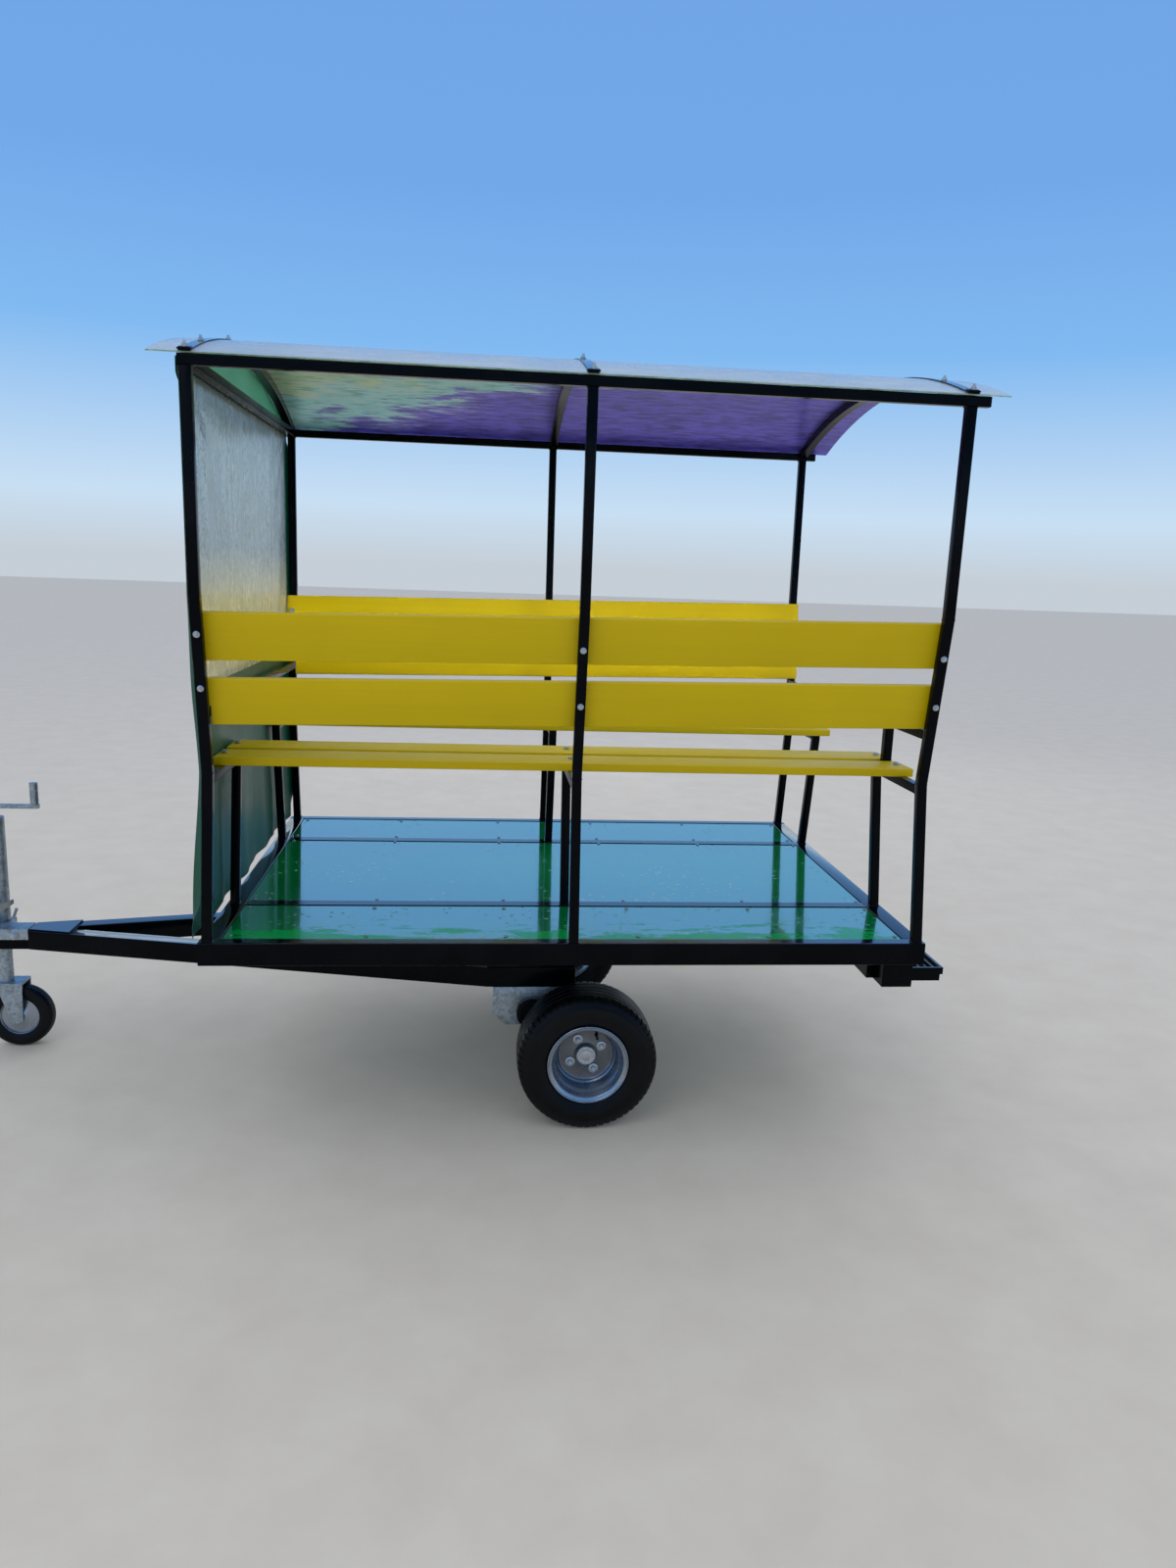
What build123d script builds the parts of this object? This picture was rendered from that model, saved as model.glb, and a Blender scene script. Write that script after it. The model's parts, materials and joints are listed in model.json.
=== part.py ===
from build123d import *
import os
from math import hypot, sqrt

# Passenger trailer, in millimetres: +X forward to the coupling, +Y to its left, +Z up.
# Places along X are measured from the axle line and moved to the middle of the length at the end.

# Deck
deck_top = 612
deck_front = 1005
deck_rear = -870
deck_half_width = 700
rail_height = 60
side_rail_width = 40
end_rail_width = 50
rail_round = 4
strip_centre = 362
strip_width = 40
board_thick = 15
board_recess = 2
board_gap = 1.5
bearer_height = 28
bearer_width = 40
bearer_places = [-560, -250, 67, 380, 690]

# Square tube of the posts, roof rails and bench frames
tube_size = 25

# Posts lean in to a kink at seat height, out to a shoulder above the backrest, then stand nearly upright
post_inset = 22.5
kink_inset = 65
kink_z = 1028
shoulder_outset = 4.5
shoulder_z = 1462
top_outset = 12.5
roof_rail_top = 1995
roof_rail_tail = 23

# Benches
seat_top = 1047
seat_inner = 219
slat_thick = 22
slat_width = 127
slat_gap = 33
slat_tail = 3
leg_foot_y = 367
leg_head_y = 297
arm_rest_top = 1174
plank_height = 116
plank_thick = 20
plank_setback = 10
plank_rise = 28
lower_plank_bottom = 1149
upper_plank_bottom = 1308
notch_gap = 2

# Roof
bow_rise = 121
bow_deep = 25
bow_wide = 25
sheet_thick = 3
sheet_overhang = 1
sheet_nose = 61
sheet_tail = 70
strap_wide = 26
strap_thick = 3

# Front wall
lower_bar_top = 1195
tarp_thick = 3
tarp_gap = 6.5
tarp_clear = 0.6
tarp_head_gap = 4
tarp_bottom = 622
window_thick = 1.5
window_overlap = 15
window_bottom = 1249
window_top = 1955
window_half_width = 638

# Drawbar and risers
drawbar_bottom = 354
beam_height = 60
beam_width = 50
tail_outer = 350
tail_rear = 26
bend_x = 283
nose_x = 1675
nose_outer = 35
nose_tube = 60
nose_tube_rear = 1540
nose_tube_front = 1800
nose_plate_thick = 5
nose_plate_inset = 5
nose_plate_margin = 4
riser_plate = 8
riser_wide = 50
riser_foot_inset = 25
riser_front_length = 60
riser_front_setback = 5

# Coupling
skirt_wall = 4
skirt_bottom = 385
skirt_front = 1850
ball_x = 1885
ball_z = 382
ball_radius = 25
cup_wall = 7
cup_below_ball = 12
cup_above_ball = 20
cup_bevel = 12
lever_front = 1895
lever_rear = 1825
lever_tip_x = 1728
lever_tip_z = 494
lever_thick = 14
lever_wide = 22

# Axle and wheels
axle_x = 150
axle_z = 280
axle_beam = 60
bracket_wall = 6
bracket_front = 265
bracket_rear = 45
bracket_bottom = 238
bracket_chamfer = 38
arm_gap = 2
arm_thick = 20
arm_shaft = 40
arm_pivot_radius = 46
arm_hub_radius = 30
wheel_radius = 197
tread_half_width = 68
tyre_half_width = 81
tyre_low_radius = 130
tyre_high_radius = 176
tyre_arm_gap = 11
bead_radius = 101.5
flange_radius = 114
flange_half_width = 74
flange_lip = 6
flange_clear = 2
disc_inset = 80
disc_thick = 4
rim_wall = 4
hub_radius = 31
hub_gap = 4
hub_flange_radius = 66
hub_flange_thick = 10
hub_cap_radius = 28
hub_cap_length = 18
hub_cap_clear = 2
stub_radius = 15
stub_clearance = 0.5
stub_end_gap = 2

# Rear step
step_bracket_inset = 7
step_bracket_long = 83
step_bracket_wide = 65
step_half_width = 650
step_bracket_bottom = 471
step_top = 526
step_plate_bottom = 489
step_reach = 78
step_lip = 8
step_lip_height = 19
step_bar = 4
step_bar_height = 25
step_bars = 3
step_ties = 7
step_end_plate = 6
step_beam_inset = 110
step_beam_size = 50
step_beam_drop = 80

# Jockey wheel
jockey_x = 1790
clamp_plate = 6
clamp_height = 54
clamp_half_length = 30
clamp_wall = 7
jockey_tube_radius = 24
jockey_tube_wall = 2.5
jockey_tube_bottom = 352
jockey_tube_top = 745
jockey_cap_thick = 12
spindle_radius = 8
spindle_height = 28
crank_reach = 130
crank_thick = 12
grip_radius = 12
grip_height = 68
stem_radius = 21
stem_top = 560
stem_bottom = 215
jockey_wheel_radius = 100
jockey_wheel_wide = 50
jockey_trail = 38
fork_wall = 5
fork_gap = 6
fork_top_thick = 6
fork_half_length = 20
fork_eye = 16
pin_radius = 6
fit_gap = 0.3

# Values that follow from the sizes above
half_tube = tube_size / 2
deck_bottom = deck_top - rail_height
post_places = {"front": deck_front - post_inset, "mid": (deck_front + deck_rear) / 2, "rear": deck_rear + post_inset}
post_front = post_places["front"] + half_tube
tarp_back = post_front + tarp_gap
front_line = tarp_back - window_thick - tarp_clear
roof_rail_rear = deck_rear - roof_rail_tail
slat_rear = deck_rear - slat_tail
plank_rear = deck_rear + plank_setback
sheet_front = deck_front + sheet_nose
sheet_rear = deck_rear - sheet_tail
kink_y = deck_half_width - kink_inset
shoulder_y = deck_half_width + shoulder_outset
top_y = deck_half_width + top_outset
sheet_half_width = top_y + sheet_overhang
rail_inner = top_y - tube_size
roof_rail_bottom = roof_rail_top - tube_size
seat_bottom = seat_top - slat_thick
slat_gap_centre = seat_inner + slat_width + slat_gap / 2
drawbar_top = drawbar_bottom + beam_height
beam_slope = (tail_outer - nose_outer) / (nose_x - bend_x)
beam_across = beam_width * sqrt(1 + beam_slope ** 2)
arm_inner = tail_outer + arm_gap
arm_outer = arm_inner + arm_thick
tyre_centre_y = arm_outer + tyre_arm_gap + tyre_half_width
disc_y = tyre_centre_y + flange_half_width - disc_inset
bow_outer_radius = (top_y ** 2 + bow_rise ** 2) / (2 * bow_rise)
bow_centre_z = roof_rail_top + bow_rise - bow_outer_radius
bow_inner_radius = bow_outer_radius - bow_deep
jockey_y = -(nose_tube / 2 + skirt_wall + clamp_plate + jockey_tube_radius + clamp_wall)
ball_front = ball_x + ball_radius + cup_wall
step_bracket_rear = deck_rear + step_bracket_inset
step_bracket_front = step_bracket_rear + step_bracket_long
step_rear = step_bracket_rear - step_reach
step_beam_front = deck_rear + step_beam_inset
step_back = step_rear - step_lip
middle_x = (ball_front + step_back) / 2

# Outer face of a post: height, half width
post_line = [(deck_top, deck_half_width), (kink_z, kink_y), (shoulder_z, shoulder_y), (roof_rail_bottom, top_y)]


def save(name, solids):
    """Write one node, moved so that the trailer's length is centred on the origin."""
    placed = [solid.moved(Location((-middle_x, 0, 0))) for solid in solids]
    shape = placed[0] if len(placed) == 1 else Compound(children=placed)
    export_step(shape, f"parts/{name}.step")


def block(x0, x1, y0, y1, z0, z1):
    size = (abs(x1 - x0), abs(y1 - y0), abs(z1 - z0))
    centre = ((x0 + x1) / 2, (y0 + y1) / 2, (z0 + z1) / 2)
    return Pos(*centre) * Box(*size)


def tube(x0, x1, y0, y1, z0, z1, along, round_edge):
    """A rectangular section bar with its four long edges rounded."""
    bar = block(x0, x1, y0, y1, z0, z1)
    return fillet(bar.edges().filter_by(along), round_edge)


def across(points, x0, x1):
    """An outline of (y, z) points, extruded along X."""
    face = make_face(Plane.YZ * Polyline(*points, close=True))
    return Pos(x0, 0, 0) * extrude(face, x1 - x0)


def flat(points, z0, z1):
    """An outline of (x, y) points, extruded upwards."""
    face = make_face(Plane.XY * Polyline(*points, close=True))
    return Pos(0, 0, z0) * extrude(face, z1 - z0)


def along_y(points, y0, y1):
    """An outline of (x, z) points, extruded along Y."""
    wire = Polyline(*[(x, y0, z) for x, z in points], close=True)
    return extrude(make_face(wire), y1 - y0, dir=(0, 1, 0))


def mirror_y(solid):
    return mirror(solid, about=Plane.XZ)


def rod(x, y0, y1, z, radius):
    """A round bar along Y."""
    bar = Cylinder(radius, abs(y1 - y0))
    return Pos(x, (y0 + y1) / 2, z) * Rot(90, 0, 0) * bar


def upright_rod(x, y, z0, z1, radius):
    """A round bar standing up."""
    return Pos(x, y, (z0 + z1) / 2) * Cylinder(radius, z1 - z0)


def turned(profile, x, z):
    """A profile of (y, radius) points turned about an axle along Y."""
    face = make_face(Polyline(*[(radius, y) for y, radius in profile], close=True))
    solid = revolve(face, Axis.Y)
    return Pos(x, 0, z) * solid


def post_outer(z):
    """Half width over the posts' outer faces at a height."""
    for (z0, y0), (z1, y1) in zip(post_line, post_line[1:]):
        if z <= z1:
            return y0 + (y1 - y0) * (z - z0) / (z1 - z0)
    return top_y


def post_inner(z):
    return post_outer(z) - tube_size


def both_sides(name, solids):
    save(f"{name}_left", solids)
    save(f"{name}_right", [mirror_y(solid) for solid in solids])


def deck_frame():
    rail = tube(deck_rear, deck_front, deck_half_width - side_rail_width, deck_half_width,
                deck_bottom, deck_top, Axis.X, rail_round)
    both_sides("side_rail", [rail])
    inner = deck_half_width - side_rail_width
    for name, start in (("front", deck_front - end_rail_width), ("rear", deck_rear)):
        save(f"end_rail_{name}", [block(start, start + end_rail_width, -inner, inner, deck_bottom, deck_top)])
    x0, x1 = deck_rear + end_rail_width, deck_front - end_rail_width
    half = strip_width / 2
    strip = block(x0, x1, strip_centre - half, strip_centre + half, deck_bottom, deck_top)
    both_sides("floor_strip", [strip])
    board_top = deck_top - board_recess
    board_bottom = board_top - board_thick
    bays = [(-inner, -strip_centre - half), (-strip_centre + half, strip_centre - half),
            (strip_centre + half, inner)]
    boards = [block(x0 + board_gap, x1 - board_gap, y0 + board_gap, y1 - board_gap, board_bottom, board_top)
              for y0, y1 in bays]
    save("floor_boards", boards)
    bearers = [block(x - bearer_width / 2, x + bearer_width / 2, y0, y1, board_bottom - bearer_height, board_bottom)
               for x in bearer_places for y0, y1 in bays]
    save("floor_bearers", bearers)


def posts():
    outer = [(y, z) for z, y in post_line]
    inner = [(y - tube_size, z) for y, z in reversed(outer)]
    for name, x in post_places.items():
        both_sides(f"post_{name}", [across(outer + inner, x - half_tube, x + half_tube)])
    rail = tube(roof_rail_rear, front_line, rail_inner, top_y, roof_rail_bottom, roof_rail_top, Axis.X, rail_round)
    both_sides("roof_rail", [rail])


def bench_frame(x):
    """A leaning leg with the cross bar that carries the slats out to the post."""
    bar_bottom = seat_bottom - tube_size
    outline = [(leg_foot_y - half_tube, deck_top), (leg_foot_y + half_tube, deck_top),
               (leg_head_y + half_tube, bar_bottom), (post_inner(bar_bottom), bar_bottom),
               (post_inner(seat_bottom), seat_bottom), (leg_head_y - half_tube, seat_bottom),
               (leg_head_y - half_tube, bar_bottom)]
    return across(outline, x - half_tube, x + half_tube)


def arm_rest(x):
    """An upright through the gap between the slats and a bar from it to the post."""
    y0, y1 = slat_gap_centre - half_tube, slat_gap_centre + half_tube
    low = arm_rest_top - tube_size
    outline = [(y0, seat_bottom), (y1, seat_bottom), (y1, low), (post_inner(low), low),
               (post_inner(arm_rest_top), arm_rest_top), (y0, arm_rest_top)]
    return across(outline, x - half_tube, x + half_tube)


def back_plank(bottom):
    """A plank on the posts' inner faces, its rear end higher than its front end."""
    lean = (shoulder_y - kink_y) / (shoulder_z - kink_z)
    stretch = sqrt(1 + lean ** 2)
    low = (bottom - kink_z) * stretch
    rise = plank_rise * stretch
    high = low + plank_height
    face_plane = Plane(origin=(0, kink_y - tube_size, kink_z), x_dir=(1, 0, 0), z_dir=(0, -1, lean))
    outline = Polyline((front_line, low), (front_line, high), (plank_rear, high + rise), (plank_rear, low + rise),
                       close=True)
    return extrude(make_face(face_plane * outline), plank_thick)


def benches():
    frames = [bench_frame(x) for x in post_places.values()]
    frames[-1] += arm_rest(post_places["rear"])
    both_sides("bench_frames", frames)
    slats = [block(slat_rear, front_line, y0, y0 + slat_width, seat_bottom, seat_top)
             for y0 in (seat_inner, seat_inner + slat_width + slat_gap)]
    both_sides("seat_slats", slats)
    notch = block(post_front - tube_size - notch_gap, front_line, 0, deck_half_width,
                  lower_plank_bottom - notch_gap, lower_bar_top + notch_gap)
    both_sides("back_planks", [back_plank(lower_plank_bottom) - notch, back_plank(upper_plank_bottom)])


def arch(radius_in, radius_out, half_width, x0, x1):
    """A barrel strip between two radii about the roof's centre line, cut upright at both sides."""
    def rim_z(radius):
        return bow_centre_z + sqrt(radius ** 2 - half_width ** 2)
    low = ThreePointArc((-half_width, rim_z(radius_in)), (0, bow_centre_z + radius_in), (half_width, rim_z(radius_in)))
    high = ThreePointArc((half_width, rim_z(radius_out)), (0, bow_centre_z + radius_out),
                         (-half_width, rim_z(radius_out)))
    sides = [Line(low @ 1, high @ 0), Line(high @ 1, low @ 0)]
    face = make_face(Plane.YZ * (low + sides[0] + high + sides[1]))
    return Pos(x0, 0, 0) * extrude(face, x1 - x0)


def upper_bar():
    """The cross bar between the two roof rails at the front."""
    return block(post_front - tube_size, post_front, -rail_inner, rail_inner, roof_rail_bottom, roof_rail_top)


def roof():
    for name, x in post_places.items():
        x0, x1 = x - bow_wide / 2, x + bow_wide / 2
        bow = arch(bow_inner_radius, bow_outer_radius, rail_inner, x0, x1)
        save(f"bow_{name}", [bow - upper_bar() if name == "front" else bow])
    sheet_outer = bow_outer_radius + sheet_thick
    save("roof_sheet", [arch(bow_outer_radius, sheet_outer, sheet_half_width, sheet_rear, sheet_front)])
    straps = [arch(sheet_outer, sheet_outer + strap_thick, sheet_half_width, x - strap_wide / 2, x + strap_wide / 2)
              for x in post_places.values()]
    save("sheet_straps", straps)


def front_wall():
    x0 = post_front - tube_size
    lower_bottom = lower_bar_top - tube_size
    low, high = post_inner(lower_bottom), post_inner(lower_bar_top)
    lower = across([(-low, lower_bottom), (low, lower_bottom), (high, lower_bar_top), (-high, lower_bar_top)],
                   x0, post_front)
    save("front_bars", [lower, upper_bar()])
    left = [(post_outer(z), z) for z in (tarp_bottom, kink_z, shoulder_z, roof_rail_bottom)]
    crown_radius = bow_outer_radius - tarp_head_gap
    top_z = bow_centre_z + sqrt(crown_radius ** 2 - top_y ** 2)
    edge = Polyline(*([(-y, z) for y, z in reversed(left)] + left))
    rise = [Line((top_y, roof_rail_bottom), (top_y, top_z)), Line((-top_y, top_z), (-top_y, roof_rail_bottom))]
    crown = ThreePointArc((top_y, top_z), (0, bow_centre_z + crown_radius), (-top_y, top_z))
    face = make_face(Plane.YZ * (edge + rise[0] + crown + rise[1]))
    panel = Pos(tarp_back, 0, 0) * extrude(face, tarp_thick)
    hole = block(tarp_back, tarp_back + tarp_thick, -window_half_width, window_half_width, window_bottom, window_top)
    save("front_tarp", [panel - hole])
    wide = window_half_width + window_overlap
    save("front_window", [block(tarp_back - window_thick, tarp_back, -wide, wide,
                                window_bottom - window_overlap, window_top + window_overlap)])


def beam_outer(x):
    return nose_outer + beam_slope * (nose_x - x)


def drawbar():
    half = nose_tube / 2
    tail_inner = tail_outer - beam_width
    bend_inner = nose_x - (tail_inner + beam_across - nose_outer) / beam_slope
    outline = [(tail_rear, tail_outer), (bend_x, tail_outer), (nose_x, nose_outer), (nose_x, half),
               (nose_tube_rear, half), (nose_tube_rear, beam_outer(nose_tube_rear) - beam_across),
               (bend_inner, tail_inner), (tail_rear, tail_inner)]
    both_sides("drawbar_beam", [flat(outline, drawbar_bottom, drawbar_top)])
    tube_nose = block(nose_tube_rear, nose_tube_front, -half, half, drawbar_bottom, drawbar_top)
    x0, x1 = nose_tube_rear + nose_plate_inset, nose_x - nose_plate_inset
    y0, y1 = beam_outer(x0) - nose_plate_margin, beam_outer(x1) - nose_plate_margin
    plate = flat([(x0, -y0), (x1, -y1), (x1, y1), (x0, y0)], drawbar_top, drawbar_top + nose_plate_thick)
    save("drawbar_nose", [tube_nose + plate])
    inner = tail_outer - riser_wide
    rear = block(tail_rear, bend_x, inner, tail_outer, drawbar_top, drawbar_top + riser_plate)
    rear += block(tail_rear + riser_foot_inset, bend_x - riser_foot_inset, inner, tail_outer, drawbar_top, deck_bottom)
    x1 = deck_front - riser_front_setback
    outer = beam_outer(x1)
    front = block(x1 - riser_front_length, x1, outer - riser_wide, outer, drawbar_top, deck_bottom)
    save("frame_risers", [rear, mirror_y(rear), front, mirror_y(front)])


def coupling():
    half = nose_tube / 2
    outer = half + skirt_wall
    top = drawbar_top + skirt_wall
    body = block(nose_x, skirt_front, -outer, outer, skirt_bottom, top)
    body -= block(nose_x, nose_tube_front, -half, half, skirt_bottom, drawbar_top)
    cup_bottom = ball_z - cup_below_ball
    cup_roof = ball_z + cup_above_ball
    cup = upright_rod(ball_x, 0, cup_bottom, cup_roof + cup_wall, ball_radius + cup_wall)
    cup = chamfer(cup.edges().group_by(Axis.Z)[-1], cup_bevel)
    neck = block(skirt_front, ball_x, -ball_radius, ball_radius, ball_z, cup_roof)
    body = body + cup + neck - upright_rod(ball_x, 0, cup_bottom, cup_roof, ball_radius)
    save("coupling_body", [body])
    lever = [(skirt_front, top), (lever_front, top), (lever_front, top + lever_thick / 2), (ball_x, top + lever_thick),
             (lever_tip_x, lever_tip_z + lever_thick / 2), (lever_tip_x, lever_tip_z - lever_thick / 2),
             (lever_rear, top)]
    save("coupling_handle", [along_y(lever, -lever_wide / 2, lever_wide / 2)])


def swing_arm_outline():
    """The arm's side view: a disc at the axle, a smaller one at the wheel and straight sides that touch both."""
    pivot, end = (axle_x, axle_z), (0, wheel_radius)
    reach = hypot(pivot[0] - end[0], pivot[1] - end[1])
    run = ((end[0] - pivot[0]) / reach, (end[1] - pivot[1]) / reach)
    taper = (arm_pivot_radius - arm_hub_radius) / reach
    square = sqrt(1 - taper ** 2)
    corners = []
    for centre, radius, order in ((pivot, arm_pivot_radius, (1, -1)), (end, arm_hub_radius, (-1, 1))):
        for side in order:
            touch = (run[0] * taper - side * run[1] * square, run[1] * taper + side * run[0] * square)
            corners.append((centre[0] + radius * touch[0], centre[1] + radius * touch[1]))
    web = make_face(Polyline(*corners, close=True))
    return web + Pos(*pivot) * Circle(arm_pivot_radius) + Pos(*end) * Circle(arm_hub_radius)


def axle():
    half = axle_beam / 2
    beam = block(axle_x - half, axle_x + half, -tail_outer, tail_outer, axle_z - half, axle_z + half)
    save("axle_beam", [beam])
    side = [(bracket_rear, drawbar_bottom), (bracket_front, drawbar_bottom),
            (bracket_front, bracket_bottom + bracket_chamfer), (bracket_front - bracket_chamfer, bracket_bottom),
            (bracket_rear + bracket_chamfer, bracket_bottom), (bracket_rear, bracket_bottom + bracket_chamfer)]
    y0 = tail_outer - bracket_wall
    plate = along_y(side, y0, tail_outer) - beam
    flange = block(bracket_rear, bracket_front, tail_outer - beam_width, y0,
                   drawbar_bottom - bracket_wall, drawbar_bottom)
    bracket = plate + flange
    save("axle_brackets", [bracket, mirror_y(bracket)])
    arm = extrude(Plane.XZ.offset(-arm_outer) * swing_arm_outline(), arm_thick)
    half = arm_shaft / 2
    shaft = block(axle_x - half, axle_x + half, tail_outer, arm_inner, axle_z - half, axle_z + half)
    stub = rod(0, arm_outer, disc_y - stub_end_gap, wheel_radius, stub_radius)
    both_sides("swing_arm", [arm + shaft + stub])


def wheels():
    outer_face = tyre_centre_y + flange_half_width
    inner_face = tyre_centre_y - flange_half_width
    bore = stub_radius + stub_clearance
    start = arm_outer + hub_gap
    flange = disc_y - hub_flange_thick
    cap = disc_y + hub_cap_length
    hub = [(start, bore), (start, hub_radius), (flange, hub_radius), (flange, hub_flange_radius),
           (disc_y, hub_flange_radius), (disc_y, hub_cap_radius), (cap, hub_cap_radius), (cap, 0),
           (disc_y, 0), (disc_y, bore)]
    both_sides("hub", [turned(hub, 0, wheel_radius)])
    barrel = bead_radius - rim_wall
    hole = hub_cap_radius + hub_cap_clear
    rim = [(outer_face, flange_radius), (outer_face - flange_lip, flange_radius),
           (outer_face - flange_lip, bead_radius), (inner_face + flange_lip, bead_radius),
           (inner_face + flange_lip, flange_radius), (inner_face, flange_radius), (inner_face, barrel),
           (disc_y, barrel), (disc_y, hole), (disc_y + disc_thick, hole), (disc_y + disc_thick, barrel),
           (outer_face, barrel)]
    both_sides("rim", [turned(rim, 0, wheel_radius)])
    bead = flange_half_width - flange_lip
    half = [(bead, bead_radius), (bead, flange_radius + flange_clear), (tyre_half_width, tyre_low_radius),
            (tyre_half_width, tyre_high_radius), (tread_half_width, wheel_radius)]
    tyre = [(tyre_centre_y + y, radius) for y, radius in half]
    tyre += [(tyre_centre_y - y, radius) for y, radius in reversed(half)]
    both_sides("tyre", [turned(tyre, 0, wheel_radius)])


def rear_step():
    bracket_inner = step_half_width - step_bracket_wide
    bracket = block(step_bracket_rear, step_bracket_front, bracket_inner, step_half_width,
                    step_bracket_bottom, deck_bottom)
    save("step_brackets", [bracket, mirror_y(bracket)])
    beam_bottom = deck_bottom - step_beam_drop
    beam = block(step_beam_front - step_beam_size, step_beam_front, -bracket_inner, bracket_inner,
                 beam_bottom, beam_bottom + step_beam_size)
    save("step_beam", [beam])
    bar_bottom = step_top - step_bar_height
    bars = [(step_bracket_rear - step_bar, step_bracket_rear, bar_bottom)]
    pitch = (step_bracket_rear - step_rear) / (step_bars + 1)
    for i in range(step_bars):
        x = step_bracket_rear - (i + 1) * pitch
        bars.append((x - step_bar / 2, x + step_bar / 2, bar_bottom))
    tread = block(step_back, step_rear, -step_half_width, step_half_width, step_top - step_lip_height, step_top)
    for x0, x1, low in bars:
        tread += block(x0, x1, -step_half_width, step_half_width, low, step_top)
    for i in range(step_ties + 1):
        y = -step_half_width + step_end_plate / 2 + i * (2 * step_half_width - step_end_plate) / step_ties
        low = step_plate_bottom if i in (0, step_ties) else bar_bottom
        tread += block(step_rear, step_bracket_rear, y - step_end_plate / 2, y + step_end_plate / 2, low, step_top)
    save("rear_step", [tread])


def jockey():
    y = jockey_y
    clamp_bottom = drawbar_top - clamp_height
    clamp = block(jockey_x - clamp_half_length, jockey_x + clamp_half_length, y - jockey_tube_radius - clamp_wall,
                  -(nose_tube / 2 + skirt_wall), clamp_bottom, drawbar_top)
    clamp -= upright_rod(jockey_x, y, clamp_bottom, drawbar_top, jockey_tube_radius + fit_gap)
    save("jockey_clamp", [clamp])
    sleeve = upright_rod(jockey_x, y, jockey_tube_bottom, jockey_tube_top, jockey_tube_radius)
    sleeve -= upright_rod(jockey_x, y, jockey_tube_bottom, jockey_tube_top - jockey_cap_thick,
                          jockey_tube_radius - jockey_tube_wall)
    crank_bottom = jockey_tube_top + spindle_height
    crank_top = crank_bottom + crank_thick
    spindle = upright_rod(jockey_x, y, jockey_tube_top, crank_bottom, spindle_radius)
    crank = block(jockey_x - crank_reach, jockey_x + spindle_radius, y - spindle_radius, y + spindle_radius,
                  crank_bottom, crank_top)
    grip = upright_rod(jockey_x - crank_reach + grip_radius, y, crank_top, crank_top + grip_height, grip_radius)
    save("jockey_tube", [sleeve + spindle + crank + grip])
    save("jockey_stem", [upright_rod(jockey_x, y, stem_bottom, stem_top, stem_radius)])
    top = stem_bottom - fit_gap
    fork_x = jockey_x - jockey_trail
    inner = jockey_wheel_wide / 2 + fork_gap
    outer = inner + fork_wall
    fork = block(fork_x - fork_half_length, jockey_x + stem_radius, y - outer, y + outer, top - fork_top_thick, top)
    cheek = [(fork_x - fork_eye, jockey_wheel_radius - fork_eye), (fork_x + fork_eye, jockey_wheel_radius - fork_eye),
             (jockey_x + stem_radius, top - fork_top_thick), (fork_x - fork_half_length, top - fork_top_thick)]
    for y0, y1 in ((y - outer, y - inner), (y + inner, y + outer)):
        fork += along_y(cheek, y0, y1)
    fork += rod(fork_x, y - outer, y + outer, jockey_wheel_radius, pin_radius)
    save("jockey_fork", [fork])
    half = jockey_wheel_wide / 2
    bore = pin_radius + stub_clearance
    roller = [(y - half, bore), (y - half, jockey_wheel_radius), (y + half, jockey_wheel_radius), (y + half, bore)]
    save("jockey_wheel", [turned(roller, fork_x, jockey_wheel_radius)])


def main():
    os.makedirs("parts", exist_ok=True)
    for make in (deck_frame, posts, benches, roof, front_wall, drawbar, coupling, axle, wheels, rear_step, jockey):
        make()


main()
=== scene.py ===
# %% [markdown]
# # A passenger trailer
# The trailer has a green deck on a black steel frame, two yellow benches, a curved plastic roof on three
# bows and a tarpaulin with a clear window across its front. The solid model comes from the frame, already
# in place and in metres. This lesson gives it its finishes and adds what solids leave out: tyre treads,
# bolts, welds, the folds of the tarpaulin and the ripples of the roof.

# %% Load the frame
import json
import math
import bpy
import numpy as np
from mathutils import Matrix, Vector

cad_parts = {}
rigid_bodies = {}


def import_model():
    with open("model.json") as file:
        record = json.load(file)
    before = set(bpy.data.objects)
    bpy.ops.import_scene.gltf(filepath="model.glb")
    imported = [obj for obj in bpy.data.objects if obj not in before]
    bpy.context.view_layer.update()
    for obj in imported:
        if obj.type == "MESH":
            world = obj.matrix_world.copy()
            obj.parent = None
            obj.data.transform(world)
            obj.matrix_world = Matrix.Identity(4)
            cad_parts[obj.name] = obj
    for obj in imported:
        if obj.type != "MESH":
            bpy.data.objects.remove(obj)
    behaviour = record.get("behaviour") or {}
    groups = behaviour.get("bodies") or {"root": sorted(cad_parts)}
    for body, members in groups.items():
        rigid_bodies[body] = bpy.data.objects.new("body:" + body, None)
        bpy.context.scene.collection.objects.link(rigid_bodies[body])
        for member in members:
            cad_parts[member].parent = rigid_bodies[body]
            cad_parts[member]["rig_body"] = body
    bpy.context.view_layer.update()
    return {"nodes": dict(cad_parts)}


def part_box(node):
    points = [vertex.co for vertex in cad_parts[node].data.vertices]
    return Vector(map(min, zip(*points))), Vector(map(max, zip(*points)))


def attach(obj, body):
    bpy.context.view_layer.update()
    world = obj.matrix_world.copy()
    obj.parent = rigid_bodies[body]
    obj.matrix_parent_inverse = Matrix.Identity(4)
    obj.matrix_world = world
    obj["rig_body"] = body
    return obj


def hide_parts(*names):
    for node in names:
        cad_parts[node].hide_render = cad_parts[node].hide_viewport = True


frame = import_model()

# %% [markdown]
# ## The camera
# The photograph was taken by hand at eye height, level with the near side of the trailer and a little
# forward of its middle, with a wide lens held upright. The camera could be placed by trial. Here its place,
# direction and roll were solved from points whose sizes are known: the corners of the deck, the feet and
# heads of the posts and the two tyres. The roll is a small turn about the lens's own axis, because the
# horizon in the photograph is not level.

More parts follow.
